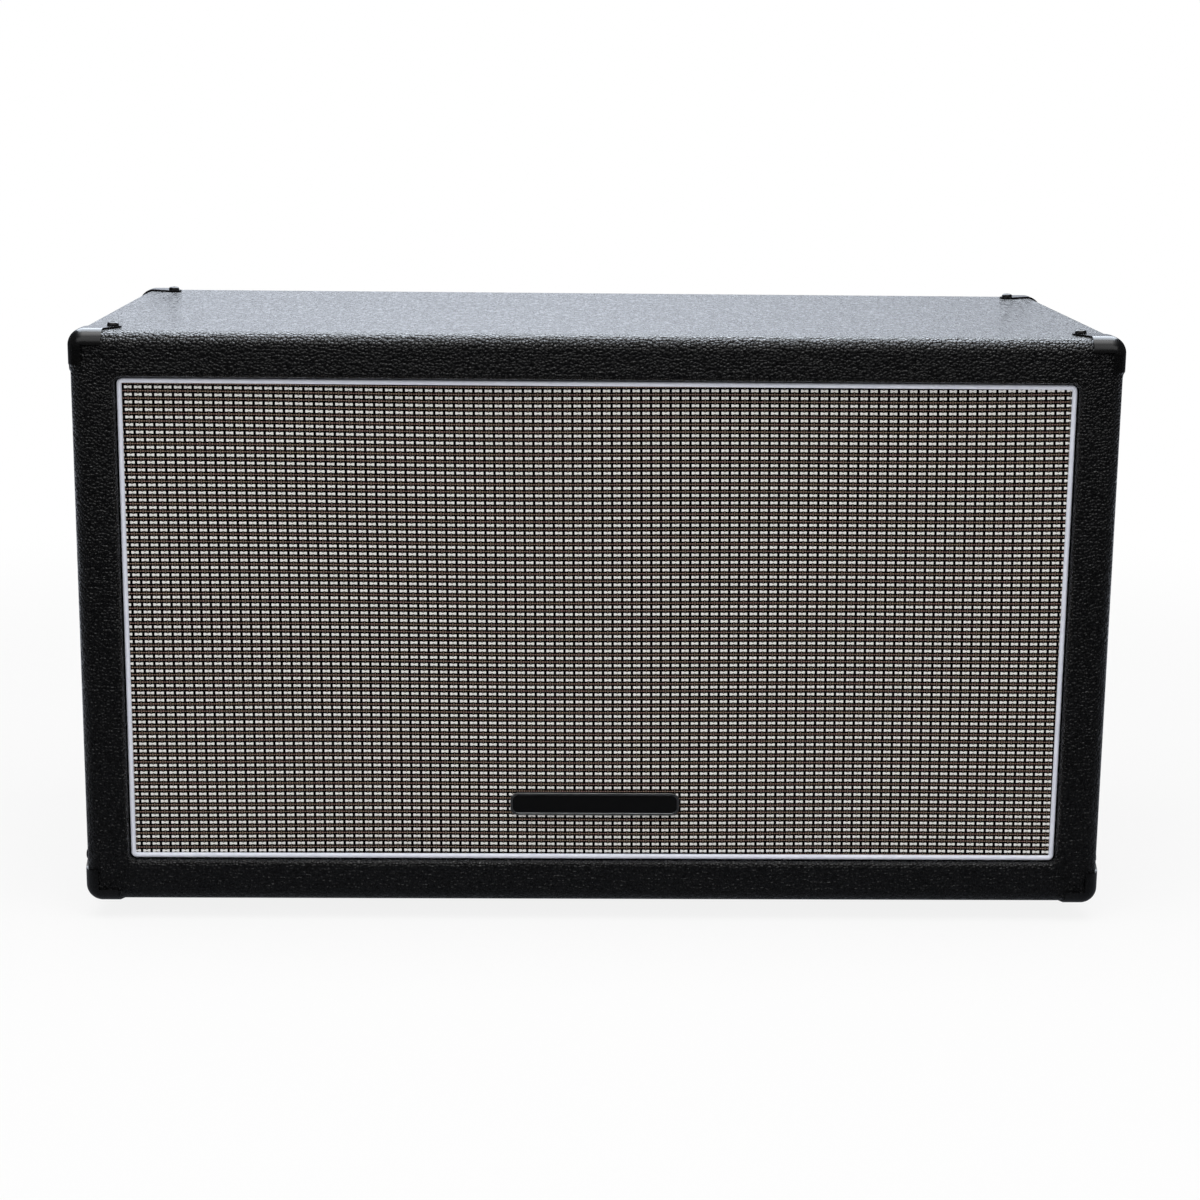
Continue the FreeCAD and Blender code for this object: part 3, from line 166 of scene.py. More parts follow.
def only(geometry, kinds):
    """The corners, edges or faces of some geometry."""
    return [element for element in geometry if isinstance(element, kinds)]


bm = bmesh.new()
ends = [bm.verts.new((x, SWEEP_FRONT, 0)) for x in (-SWEEP_HALF_WIDTH, SWEEP_HALF_WIDTH)]
floor = bmesh.ops.extrude_edge_only(bm, edges=[bm.edges.new(ends)])["geom"]
bmesh.ops.translate(bm, verts=only(floor, BMVert), vec=(0, SWEEP_BACK - SWEEP_FRONT, 0))
bend = bmesh.ops.spin(
    bm,
    geom=only(floor, (BMVert, BMEdge)),
    cent=(0, SWEEP_BACK, SWEEP_RADIUS),
    axis=(1, 0, 0),
    angle=math.pi / 2,
    steps=SWEEP_STEPS,
)["geom_last"]
wall = bmesh.ops.extrude_edge_only(bm, edges=only(bend, BMEdge))["geom"]
bmesh.ops.translate(bm, verts=only(wall, BMVert), vec=(0, 0, WALL_HEIGHT))
bmesh.ops.recalc_face_normals(bm, faces=bm.faces)
sweep_mesh = bpy.data.meshes.new("paper_sweep")
bm.to_mesh(sweep_mesh)
bm.free()
for face in sweep_mesh.polygons:
    face.use_smooth = True
paper_sweep = bpy.data.objects.new("paper_sweep", sweep_mesh)
scene.collection.objects.link(paper_sweep)
print(f"sweep of {len(sweep_mesh.polygons)} faces")

# %% [markdown]
# ### Paper
# The paper mixes two surfaces: matt paper, and a glow that the camera and glossy surfaces see. Close to the
# cabinet a small share of what the camera sees is matt, which is enough for a faint shadow.

# %% Mix the paper
# Each falloff goes from a place in metres and the level there to another place and its level
GLOW_BEHIND = ((-0.3, 0.03), (0.7, 1.0))
GLOW_BESIDE = ((1.3, 1.0), (2.4, 0.06))
GLOW_TO_RIGHT = ((0.0, 1.0), (1.2, 0.7))
# Share of the glow close to the cabinet, and the distances in metres between which it rises to all
NEAR_GLOW = 0.86
NEAR, FAR = 0.7, 1.6

# Matt paper: white without a highlight, so nothing but the shadow shows on it
paper = bpy.data.materials.new("white_paper")
paper.use_nodes = True
tree = paper.node_tree
tree.nodes.remove(tree.nodes["Principled BSDF"])
where = node(tree, "ShaderNodeTexCoord")["Object"]
path = node(tree, "ShaderNodeLightPath")
spot = node(tree, "ShaderNodeSeparateXYZ", {"Vector": where})
aside = node(tree, "ShaderNodeMath", {0: spot["X"]}, operation="ABSOLUTE")[0]
dim = 1.0
for place, (start, stop) in ((spot["Y"], GLOW_BEHIND), (aside, GLOW_BESIDE), (spot["X"], GLOW_TO_RIGHT)):
    ends = {"From Min": start[0], "To Min": start[1], "From Max": stop[0], "To Max": stop[1]}
    falloff = node(tree, "ShaderNodeMapRange", {"Value": place, **ends})[0]
    dim = node(tree, "ShaderNodeMath", {0: dim, 1: falloff}, operation="MULTIPLY")[0]
level = node(tree, "ShaderNodeMix", {0: path["Is Glossy Ray"], 2: 1.0, 3: dim})[0]
tints = {6: colour("#ffffff"), 7: colour("#ecf2ff")}
tint = node(tree, "ShaderNodeMix", {0: path["Is Glossy Ray"], **tints}, data_type="RGBA")[2]
glow = node(tree, "ShaderNodeEmission", {"Color": tint, "Strength": level})[0]
matt = node(tree, "ShaderNodeBsdfDiffuse", {"Color": colour("#e6e6e6")})[0]
distance = node(tree, "ShaderNodeVectorMath", {0: where}, operation="LENGTH")["Value"]
ends = {"From Min": NEAR, "To Min": NEAR_GLOW, "From Max": FAR, "To Max": 1.0}
zone = node(tree, "ShaderNodeMapRange", {"Value": distance, **ends}, interpolation_type="SMOOTHSTEP")[0]
framed = node(tree, "ShaderNodeMath", {0: path["Is Camera Ray"], 1: zone}, operation="MULTIPLY")[0]
share = node(tree, "ShaderNodeMath", {0: framed, 1: path["Is Glossy Ray"]}, operation="MAXIMUM")[0]
mixed = node(tree, "ShaderNodeMixShader", {0: share, 1: matt, 2: glow})[0]
tree.links.new(mixed, tree.nodes["Material Output"].inputs["Surface"])
sweep_mesh.materials.append(paper)
print(f"paper material of {len(tree.nodes)} nodes")

# %% [markdown]
# ## Light
# Soft studio light, in two sets. One large box overhead and two in front give the colours their brightness,
# and no mirror shows them. What mirrors show is a bluish strip behind the cabinet, which draws the bright
# line along the rounded top edge, a low strip above the front, whose glints in the grain fade from the top
# rail to the bottom one, and a ceiling that is bright overhead and falls off toward the horizon. The world
# gives a little even light besides.


# %% Hang the lamps
def soft_box(name, place, target, size, power):
    """A rectangular lamp that faces a target."""
    lamp_data = bpy.data.lights.new(name, "AREA")
    lamp_data.shape = "RECTANGLE"
    lamp_data.size, lamp_data.size_y = size
    lamp_data.energy = power
    lamp = bpy.data.objects.new(name, lamp_data)
    lamp.location = place
    lamp.rotation_euler = (Vector(target) - Vector(place)).to_track_quat("-Z", "Y").to_euler()
    scene.collection.objects.link(lamp)
    return lamp


rear_strip = soft_box("rear_strip", place=(0, 1.6, 2.3), target=(0, 0, 0.45), size=(3.4, 2.4), power=150)
rear_strip.data.color = (0.84, 0.91, 1.0)
TOP_RAIL = (0, -0.175, 0.42)
front_strip = soft_box("front_strip", place=(0, -0.47, 0.74), target=TOP_RAIL, size=(1.6, 0.22), power=1.1)
for strip in (rear_strip, front_strip):
    strip.visible_diffuse = False
    strip.visible_camera = False

GRILLE_MIDDLE = (0, -0.1, 0.25)
hidden_boxes = (
    soft_box("overhead_box", place=(0, -0.5, 2.3), target=(0, -0.4, 0.4), size=(3.0, 2.0), power=57),
    soft_box("front_left_box", place=(-1.7, -3.4, 2.2), target=GRILLE_MIDDLE, size=(2.6, 2.6), power=23),
    soft_box("front_right_box", place=(2.0, -3.2, 1.9), target=GRILLE_MIDDLE, size=(2.4, 2.4), power=10.8),
)
for box in hidden_boxes:
    box.visible_glossy = False
print(f"{len(bpy.data.lights)} soft boxes")

# %% [markdown]
# ### World
# The camera sees plain white, matt surfaces get an even light, and glossy surfaces see the ceiling: a bright
# patch overhead that falls off steeply, above a dim horizon.

# %% Light the world
CEILING_PEAK = 4.6
CEILING_STEEPNESS = 14.0
HORIZON = 0.05
EVEN_LIGHT = 0.28
CAMERA_WHITE = 1.0

world = bpy.data.worlds.new("studio")
world.use_nodes = True
scene.world = world
tree = world.node_tree
path = node(tree, "ShaderNodeLightPath")
facing = node(tree, "ShaderNodeTexCoord")["Generated"]
upward = node(tree, "ShaderNodeSeparateXYZ", {"Vector": facing})["Z"]
above = node(tree, "ShaderNodeMath", {0: upward, 1: 0.0}, operation="MAXIMUM")[0]
rising = node(tree, "ShaderNodeMath", {0: above, 1: CEILING_STEEPNESS}, operation="POWER")[0]
ceiling = node(tree, "ShaderNodeMath", {0: rising, 1: CEILING_PEAK, 2: HORIZON}, operation="MULTIPLY_ADD")[0]
mirrored = node(tree, "ShaderNodeMix", {0: path["Is Glossy Ray"], 2: EVEN_LIGHT, 3: ceiling})[0]
ambient = node(tree, "ShaderNodeMix", {0: path["Is Camera Ray"], 2: mirrored, 3: CAMERA_WHITE})[0]
background = tree.nodes["Background"]
background.inputs["Color"].default_value = (1, 1, 1, 1)
tree.links.new(ambient, background.inputs["Strength"])
scene.view_settings.view_transform = "Standard"
print(f"ceiling up to {CEILING_PEAK + HORIZON:.2f}")

# %% [markdown]
# ## Internal leads
# Each jack feeds its driver through a short two-core lead inside the box. A lead is a fixed length of
# something flexible, so it is a curve: the points of its route are the control points of one smooth NURBS
# line, and a round bevel gives it its thickness. The left lead is the mirror image of the right one.

# %% Route the leads
# X, Y and Z in millimetres, from the jack to the driver's terminal
LEAD_ROUTE = (
    (36, 141, 114),
    (36, 116, 114),
    (42, 92, 130),
    (56, 66, 156),
    (72, 40, 186),
    (84, 12, 212),
    (86, -16, 225.5),
    (87, -44, 227.5),
    (87, -72.5, 227.5),
)
LEAD_DIAMETER = 4.4 * MM
leads = {}
for side, sign in (("left", -1), ("right", 1)):
    line = bpy.data.curves.new(f"{side}_lead", "CURVE")
    line.dimensions = "3D"
    # The radius of each point sets the thickness, in metres
    line.bevel_depth = 1
    line.bevel_resolution = 3
    line.use_fill_caps = True
    spline = line.splines.new("NURBS")
    spline.points.add(len(LEAD_ROUTE) - 1)
    for point, (x, y, z) in zip(spline.points, LEAD_ROUTE):
        point.co = (sign * x * MM, y * MM, z * MM, 1)
        point.radius = LEAD_DIAMETER / 2
    spline.order_u = 3
    spline.use_endpoint_u = True
    spline.resolution_u = 8
    lead = bpy.data.objects.new(f"{side}_lead", line)
    scene.collection.objects.link(lead)
    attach(lead, "cabinet")
    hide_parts("speaker_leads")
    x, y, z = LEAD_ROUTE[0]
    leads[side] = lead

# %% [markdown]
# ## Black vinyl
# The box is covered in PVC-coated cloth embossed with a leather grain: domed pebbles about 2.4 mm wide with
# narrow valleys between them. A Voronoi pattern gives cells of that size. The distance to the middle of a
# cell makes the dome, the distance to its edge makes the valley, a little noise bends both, and bump turns
# them into relief. The plastic is dark and glossy: the upper shoulder of each pebble glints under the strip
# and the ceiling, and seen at a grazing angle the whole top mirrors the bright room, which is why it looks
# pale. From there the pebbles are finer than a pixel of the render, so a swell under them, drawn coarser than
# the grain itself, lets it show as a mottle.

# %% Mix the vinyl
PEBBLE_MM = 2.4
PEBBLE_VARIETY = 0.85
WANDER_MM = 2.6
WANDER_REACH_MM = 0.9
# Width of a valley as a share of a pebble
VALLEY = 0.24
VALLEY_DEPTH_MM = 0.25
DOME_DEPTH_MM = 0.68
# The swell is coarser than life, so that it shows at the size of the render
SWELL_MM = 2.8
SWELL_STRETCH = (1, 0.4, 1)
SWELL_DEPTH_MM = 0.5
# Low and high parts of the swell, their roughness, and one for viewers that can't follow it
SWELL_RANGE = (0.3, 0.7)
SHEEN_RANGE = (0.05, 0.33)
PLAIN_SHEEN = 0.18

# Soft PVC: dark and glossy, so the eye sees reflections that the pebbles break up
vinyl, tree, shader, where = start_finish("embossed_pvc_leathercloth", roughness=PLAIN_SHEEN)
wander = node(tree, "ShaderNodeTexNoise", {"Vector": where, "Scale": per_metre(WANDER_MM), "Detail": 2.0})
centred = {0: wander["Color"], 1: (0.5, 0.5, 0.5)}
shift = node(tree, "ShaderNodeVectorMath", centred, operation="SUBTRACT")[0]
reach = (WANDER_REACH_MM * MM,) * 3
bent = node(tree, "ShaderNodeVectorMath", {0: shift, 1: reach, 2: where}, operation="MULTIPLY_ADD")[0]
cells = {"Vector": bent, "Scale": per_metre(PEBBLE_MM), "Randomness": PEBBLE_VARIETY}
to_edge, to_middle = (
    node(tree, "ShaderNodeTexVoronoi", cells, feature=measure)["Distance"]
    for measure in ("DISTANCE_TO_EDGE", "F1")
)
slope = {"Value": to_edge, "From Max": VALLEY, "To Max": VALLEY_DEPTH_MM}
crest = node(tree, "ShaderNodeMapRange", slope, interpolation_type="SMOOTHSTEP")[0]
fall = node(tree, "ShaderNodeMath", {0: to_middle, 1: 2.0}, operation="POWER")[0]
along = node(tree, "ShaderNodeMapping", {"Vector": where, "Scale": SWELL_STRETCH})[0]
waves = {"Vector": along, "Scale": per_metre(SWELL_MM), "Detail": 0.0}
swell = node(tree, "ShaderNodeTexNoise", waves)["Fac"]
height_mm = crest
for layer, depth_mm in ((fall, -DOME_DEPTH_MM), (swell, SWELL_DEPTH_MM)):
    layers = {0: layer, 1: depth_mm, 2: height_mm}
    height_mm = node(tree, "ShaderNodeMath", layers, operation="MULTIPLY_ADD")[0]
# Painted shade: the valleys between the pebbles are coloured a little darker than the crests
valley_shade_blacks = ((0.0, "#080809"), (VALLEY_DEPTH_MM, "#0d0d0e"))
tone = node(tree, "ShaderNodeValToRGB", {"Fac": crest}, stops=valley_shade_blacks)["Color"]
dress_surface(tree, shader, tone, height_mm, depth_mm=1.0)
swell_ends = {"From Min": SWELL_RANGE[0], "From Max": SWELL_RANGE[1]}
sheen_ends = {"To Min": SHEEN_RANGE[0], "To Max": SHEEN_RANGE[1]}
sheen = node(tree, "ShaderNodeMapRange", {"Value": swell, **swell_ends, **sheen_ends})[0]
tree.links.new(sheen, shader.inputs["Roughness"])
print("vinyl pebbles of", PEBBLE_MM, "mm")

# %% [markdown]
# ## Finishes of the other CAD pieces
# Most hidden or small pieces have a material that is a base tone with fine mottling and a fine relief:
# moulded plastic, rubber, powder coat, card, ferrite. One function makes that family from two colours, the
# size of the mottling and its depth. Wood and wound wire have a direction, so they stretch the same noise.


# %% A family of mottled finishes
def mottled(name, low, high, size_mm, roughness, depth_mm, metallic=0.0, specular=0.5, stretch=(1, 1, 1)):
    """Two tones and a relief that follow one noise. A stretch below one draws it out along that axis."""
    material, tree, shader, where = start_finish(name, roughness, metallic, specular)
    along = node(tree, "ShaderNodeMapping", {"Vector": where, "Scale": stretch})[0]
    grains = {"Vector": along, "Scale": per_metre(size_mm), "Detail": 4.0, "Roughness": 0.6}
    specks = node(tree, "ShaderNodeTexNoise", grains)["Fac"]
    tone = node(tree, "ShaderNodeValToRGB", {"Fac": specks}, stops=((0.35, low), (0.65, high)))["Color"]
    dress_surface(tree, shader, tone, specks, depth_mm)
    return material


finishes = {
    "black_vinyl": vinyl,
    "covered_board": vinyl,
    # Rotary-cut birch veneer and planed pine: pale and matt, with streaks of grain along the board
    "birch_plywood": mottled("birch_veneer", "#b9945f", "#d9bb88", 3, 0.6, 0.05, stretch=(0.05, 0.3, 1)),
    "softwood": mottled("planed_pine", "#c29a62", "#e0c08a", 4, 0.6, 0.05, stretch=(0.06, 1, 1)),
    # Thin flat paint on plywood: no gloss, and the grain of the wood shows through it
    "black_board": mottled("flat_black_paint", "#0b0b0b", "#161616", 2, 0.85, 0.06, stretch=(0.1, 1, 1)),
    # Extruded PVC cord: smooth and slightly waxy, so it draws an even white line
    "white_piping": mottled("extruded_white_pvc", "#dfe2ef", "#e8ebf6", 6, 0.42, 0.03),
    # Injection-moulded ABS with a fine spark texture: deep black, with a soft-edged sheen on the curves
    "moulded_plastic": mottled("satin_black_abs", "#090909", "#0d0d0e", 0.6, 0.22, 0.01),
    # Oxidised and oiled steel: nearly black, with a small sharp glint on each head
    "black_screws": mottled("black_oxide_steel", "#0d0d0e", "#18181a", 0.5, 0.18, 0.01, specular=0.6),
    # Bright zinc plate: a cool grey metal whose highlights are a little blurred
    "zinc_screws": mottled("bright_zinc_plate", "#a9aaa6", "#c3c3be", 0.8, 0.35, 0.01, metallic=1.0),
    # Nitrile rubber: dark and dull, with hardly any highlight
    "rubber": mottled("moulded_nitrile_rubber", "#101010", "#181817", 1.2, 0.75, 0.05, specular=0.3),
    # Sprayed and baked powder: a fine orange peel that breaks its sheen into specks
    "black_steel": mottled("black_powder_coat", "#0d0d0d", "#151516", 0.9, 0.45, 0.05),
    # Moulded nylon: black with a broad soft sheen
    "jack_plastic": mottled("black_nylon", "#0e0e0f", "#161617", 0.7, 0.4, 0.02),
    # Polished nickel plate: a warm silver that mirrors what is round it
    "nickel": mottled("polished_nickel_plate", "#b9b6ad", "#cfccc4", 2.0, 0.18, 0.005, metallic=1.0),
    # Matt ABS: a shade lighter than the body of the switch, so the knob stands out
    "knob_plastic": mottled("matt_black_abs", "#161616", "#202021", 0.5, 0.55, 0.02),
    # Soft PVC: black, with a faint highlight along the lead
    "lead_jacket": mottled("soft_black_pvc", "#0d0d0d", "#171717", 1.5, 0.5, 0.03),
    # Pressed card: brown, fibrous and matt
    "gasket_card": mottled("pressed_card", "#4a3d30", "#5f5040", 0.8, 0.85, 0.06),
    # Cotton soaked in dope: blackish, with a faint tacky sheen
    "doped_cloth": mottled("doped_cotton", "#17171a", "#242428", 0.5, 0.6, 0.08),
    # Felted paper pulp: charcoal grey, rough and matt
    "cone_paper": mottled("felted_paper_pulp", "#2c2926", "#3d3935", 1.0, 0.8, 0.1),
    # Enamelled copper wire: fine turns that glint orange brown
    "copper_winding": mottled(
        "enamelled_copper", "#8a4a22", "#b06a38", 0.4, 0.35, 0.06, metallic=1.0, stretch=(0.1, 1, 0.1)
    ),
    # Cotton stiffened with resin: amber and dull
    "spider_cloth": mottled("resin_stiffened_cotton", "#8f6a2f", "#b58b45", 0.6, 0.65, 0.1),
    # Yellow zinc plate on turned steel: a straw tint in a blurred metal sheen
    "zinc_steel": mottled("yellow_zinc_plate", "#9c987f", "#b8b49a", 1.2, 0.38, 0.02, metallic=1.0),
    # Sintered ferrite: dark grey like stone, grainy and dull
    "ferrite": mottled("sintered_ferrite", "#2b2b2d", "#3a3a3c", 0.8, 0.6, 0.04),
}
print(len(finishes), "finishes")

# %% [markdown]
# ## Badge finish
# The badge is a blank plate of stamped aluminium: the raised rim is brushed and the sunk field is enamelled
# black. Both belong to one solid, so the depth along Y decides which of the two a point shows.

# %% Mix the badge
BADGE_FACE = -0.1709
BADGE_FIELD_DEPTH = 0.7 * MM
# The enamel starts on the slope between the rim and the field, at these shares of the depth
ENAMEL_STARTS, ENAMEL_COVERS = 0.6, 0.8
BRUSH_MM = 0.35
BRUSH_STRETCH = (0.04, 1, 1)

# Brushed aluminium: pale and satiny on the rim, while the enamel in the field is plain black
badge_finish, tree, shader, where = start_finish("stamped_aluminium", roughness=0.3, metallic=1.0)
depth = node(tree, "ShaderNodeSeparateXYZ", {"Vector": where})["Y"]
starts, covers = (BADGE_FACE + part * BADGE_FIELD_DEPTH for part in (ENAMEL_STARTS, ENAMEL_COVERS))
sunk = node(tree, "ShaderNodeMapRange", {"Value": depth, "From Min": starts, "From Max": covers})[0]
along = node(tree, "ShaderNodeMapping", {"Vector": where, "Scale": BRUSH_STRETCH})[0]
strokes = {"Vector": along, "Scale": per_metre(BRUSH_MM), "Detail": 3.0}
brushed = node(tree, "ShaderNodeTexNoise", strokes)["Fac"]
greys = ((0.35, "#b4b5b6"), (0.65, "#d8d9da"))
metal = node(tree, "ShaderNodeValToRGB", {"Fac": brushed}, stops=greys)["Color"]
tone = node(tree, "ShaderNodeMix", {0: sunk, 6: metal, 7: colour("#0c0c0d")}, data_type="RGBA")[2]
dress_surface(tree, shader, tone, brushed, depth_mm=0.01)
bare = node(tree, "ShaderNodeMath", {0: 1.0, 1: sunk}, operation="SUBTRACT")[0]
tree.links.new(bare, shader.inputs["Metallic"])
finishes["badge"] = badge_finish
print("badge face at", BADGE_FACE)

# %% [markdown]
# ## Dress the CAD pieces
# The record names a material slot for each CAD piece. A piece whose shape is already right keeps its mesh
# and only gets the finish of its slot.

# %% Assign the finishes
slot_of = {part["node"]: part["material_slot"] for part in frame["record"]["subparts"]}
dressed = 0
for name, slot in slot_of.items():
    if slot in finishes:
        materials = nodes[name].data.materials
        materials.clear()
        materials.append(finishes[slot])
        dressed += 1
for lead in leads.values():
    lead.data.materials.append(finishes["lead_jacket"])
print(dressed, "CAD pieces dressed")

# %% [markdown]
# ## Softened edges
# Moulded and stamped pieces have no knife edges: a mould leaves a small radius everywhere. The CAD solids
# stop at sharp edges, so those pieces are copied, their triangles merged into clean faces, and a Bevel
# modifier rounds what is left sharp. Weighted normals keep the flat faces flat. A copy stands for its CAD
# piece, in the same place.

# %% Copies with eased edges
WELD = 0.002 * MM
FLAT_ANGLE = math.radians(0.5)
SHARP_ANGLE = math.radians(40)


def add_piece(name, bm, finish, body="cabinet"):
    """Makes a mesh piece from a bmesh, at the origin, riding on a CAD body if one is given."""
    mesh = bpy.data.meshes.new(name)
    bm.to_mesh(mesh)
    bm.free()
    mesh.materials.append(finish)
    piece = bpy.data.objects.new(name, mesh)
    scene.collection.objects.link(piece)
    for face in mesh.polygons:
        face.use_smooth = True
    if body:
        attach(piece, body)
    return piece


def eased_copy(source, radius_mm, body="cabinet"):
    """A smoothly shaded copy of a CAD piece whose sharp edges are rounded."""
    bm = bmesh.new()
    bm.from_mesh(nodes[source].data)
    bmesh.ops.remove_doubles(bm, verts=bm.verts, dist=WELD)
    bmesh.ops.dissolve_limit(bm, angle_limit=FLAT_ANGLE, verts=bm.verts, edges=bm.edges)
    slot = slot_of[source]
    piece = add_piece(f"{source}_eased", bm, finishes[slot], body)
    piece.data.set_sharp_from_angle(angle=SHARP_ANGLE)
    bevel = piece.modifiers.new("eased_edges", "BEVEL")
    bevel.width = radius_mm * MM
    bevel.segments = 2
    bevel.limit_method = "ANGLE"
    bevel.angle_limit = SHARP_ANGLE
    flats = piece.modifiers.new("flat_faces_stay_flat", "WEIGHTED_NORMAL")
    flats.weight = 100
    flats.keep_sharp = True
    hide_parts(source)
    return piece


# Radius of the edges in millimetres
EASED = {name: 0.72 for name in nodes if name.startswith("corner_") and name != "corner_screws"}
EASED.update({"left_handle_cup": 1.2, "right_handle_cup": 1.2, "rubber_feet": 1.5})
EASED.update({"jack_plate": 0.5, "badge_plate": 0.35, "jack_nuts": 0.4})
eased = [eased_copy(name, radius) for name, radius in EASED.items()]
eased.append(eased_copy("mode_switch_slider", 0.4, body="mode_switch"))
print(len(eased), "pieces with eased edges")

# %% [markdown]
# ## Soft rings
# The surround and the spider of a driver are soft rings: the inner edge of each is glued to the cone and
# moves with it, and the outer edge is glued to the basket and stays. Each ring is copied as a number of
# sectors, cut by planes through its middle, and an assert makes sure each sector keeps a free band between
# its glued edges. The surround is narrow for its size, so it needs more sectors than the spider.

# %% Cut the rings into sectors
# Number of sectors, then the widths of the glued edges in millimetres, inner and outer
RINGS = {"surround": (16, 4, 7), "spider": (6, 6, 6)}


def trim(bm, place, outward):
    """Cuts off what lies beyond a plane."""
    everything = bm.verts[:] + bm.edges[:] + bm.faces[:]
    bmesh.ops.bisect_plane(bm, geom=everything, plane_co=place, plane_no=outward, clear_outer=True)


def flexing_sector(source, number, count, inner_glued, outer_glued):
    """One sector of a CAD ring, cut between two planes through its middle."""
    low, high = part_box(source)
    middle = (low + high) / 2
    half_sector = math.pi / count
    turn = 2 * half_sector * number
    bm = bmesh.new()
    bm.from_mesh(nodes[source].data)
    radii = [math.hypot(vert.co.x - middle.x, vert.co.z - middle.z) for vert in bm.verts]
    for side in (-1, 1):
        angle = turn + side * half_sector
        trim(bm, middle, Vector((-math.sin(angle), 0, math.cos(angle))) * side)
    slot = slot_of[source]
    piece = add_piece(f"{source}_sector_{number + 1}", bm, finishes[slot], body=None)
    start = min(radii) + inner_glued * MM
    end = (max(radii) - outer_glued * MM) * math.cos(half_sector)
    assert end > start, f"{source} needs more sectors"
    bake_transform(piece)
    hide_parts(source)
    return piece


sectors = [
    flexing_sector(f"{side}_speaker_{ring}", number, count, inner_glued, outer_glued)
    for side in ("left", "right")
    for ring, (count, inner_glued, outer_glued) in RINGS.items()
    for number in range(count)
]
print(len(sectors), "sectors of soft rings")

# %% [markdown]
# ## Mitre seams
# At each front corner two strips of vinyl meet under a diagonal seam, and at the bottom the vinyl also
# gathers in a few short creases. A seam is a low spindle of vinyl: a sphere stretched along the seam and
# flattened against the front face, with its ends tapering into it.

# %% Raise the seams
FRONT_FACE = -0.175
POLES_ALONG_SEAM = Matrix.Rotation(math.pi / 2, 4, "Y")
# Middle X and Z, length, half width and height in millimetres, then the turn in the front plane in degrees
SEAMS = (
    (-359, 423.5, 31, 0.6, 0.7, -45),
    (359, 423.5, 31, 0.6, 0.7, 45),
    (-359.5, 30.5, 36, 0.65, 0.75, 43),
    (359.5, 30.5, 36, 0.65, 0.75, -43),
    (-357, 21.5, 13, 0.5, 0.22, -4),
    (-364, 34, 9, 0.4, 0.2, 12),
    (-352, 26, 11, 0.4, 0.2, 30),
    (356, 20.5, 15, 0.5, 0.22, 6),
    (362, 27, 12, 0.45, 0.22, -3),
    (352, 37, 11, 0.4, 0.2, -20),
)
bm = bmesh.new()
for x, z, length, half_width, height, turn in SEAMS:
    place = (
        Matrix.Translation((x * MM, FRONT_FACE, z * MM))
        @ Matrix.Rotation(math.radians(-turn), 4, "Y")
        @ Matrix.Diagonal((length / 2 * MM, height * MM, half_width * MM, 1))
    )
    bmesh.ops.create_uvsphere(bm, u_segments=10, v_segments=8, radius=1, matrix=place @ POLES_ALONG_SEAM)
bmesh.ops.recalc_face_normals(bm, faces=bm.faces)
add_piece("mitre_seams", bm, vinyl)
print(len(SEAMS), "seams and creases")

# %% [markdown]
# ## Grille cloth
# The cloth is a heavy jacquard: white rayon floats in rows, pinched in the middle where a tie thread holds
# them, a taupe cotton thread between the rows, and black warp threads between the floats. It is stretched
# over the grille frame, so its rows run nearly straight, with the gentle sway that stretching by hand leaves.
# A backing sheet carries everything. Each kind of thread starts as one small repeat, is copied along the rows
# and up the columns, swayed, and trimmed at the edges of the frame.

# %% Measure the cloth
cloth_low, cloth_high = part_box("grille_cloth")
CLOTH_WIDTH = cloth_high.x - cloth_low.x
CLOTH_HEIGHT = cloth_high.z - cloth_low.z
CLOTH_FACE = cloth_low.y
CLOTH_MIDDLE = (cloth_low.z + cloth_high.z) / 2
COLUMN_STEP = 7.173 * MM
ROW_STEP = 5.54 * MM
TOP_MARGIN = 2.3 * MM
# A few columns and rows more than fit, because the sway moves the threads before they are trimmed
COLUMNS = math.ceil(CLOTH_WIDTH / COLUMN_STEP) + 4
ROWS = math.ceil(CLOTH_HEIGHT / ROW_STEP) + 2
print(f"cloth {CLOTH_WIDTH:.4f} by {CLOTH_HEIGHT:.4f} m, {COLUMNS} columns, {ROWS} rows")

# %% [markdown]
# ### Helpers for the weave
# Four small tools serve every kind of thread: the sway of the stretched cloth, a copy along a step, a turn
# that stands flat work up to face the front, and the weave itself, which sways the threads and trims them.

# %% Sway, repeat, stand up and weave
FLAT_TO_FRONT = Matrix.Rotation(math.pi / 2, 4, "X")


def sway(x, z):
    """How far the stretched cloth has moved at a point, across and up, in metres."""
    u = x / CLOTH_WIDTH
    v = (z - CLOTH_MIDDLE) / CLOTH_HEIGHT
    # In millimetres: the lean and bow of the columns, then of the rows, each with a small ripple
    across = -2.3 - 4.7 * v - 2.2 * u * v - 1.9 * u * u - 1.6 * v * v
    across += 0.47 * math.sin(11.5 * u - 2.86)
    up = 1.9 * u + 1.4 * u * v + 3 * u * u + (7.7 * u * u - 7.3 * v * v - 1.4 * v) * v
    up += 0.38 * math.sin(12 * u + 2 * v - 1.03)
    return across * MM, up * MM


def repeat(bm, count, step):
    """Copies all of a bmesh again and again along a step."""
    first = bm.verts[:] + bm.edges[:] + bm.faces[:]
    for number in range(1, count):
        copy = bmesh.ops.duplicate(bm, geom=first)["geom"]
        bmesh.ops.translate(bm, verts=only(copy, BMVert), vec=Vector(step) * number)


def stand_up(bm, place):
    """Turns flat work to face the front, at its place."""
    bmesh.ops.transform(bm, verts=bm.verts, matrix=Matrix.Translation(place) @ FLAT_TO_FRONT)


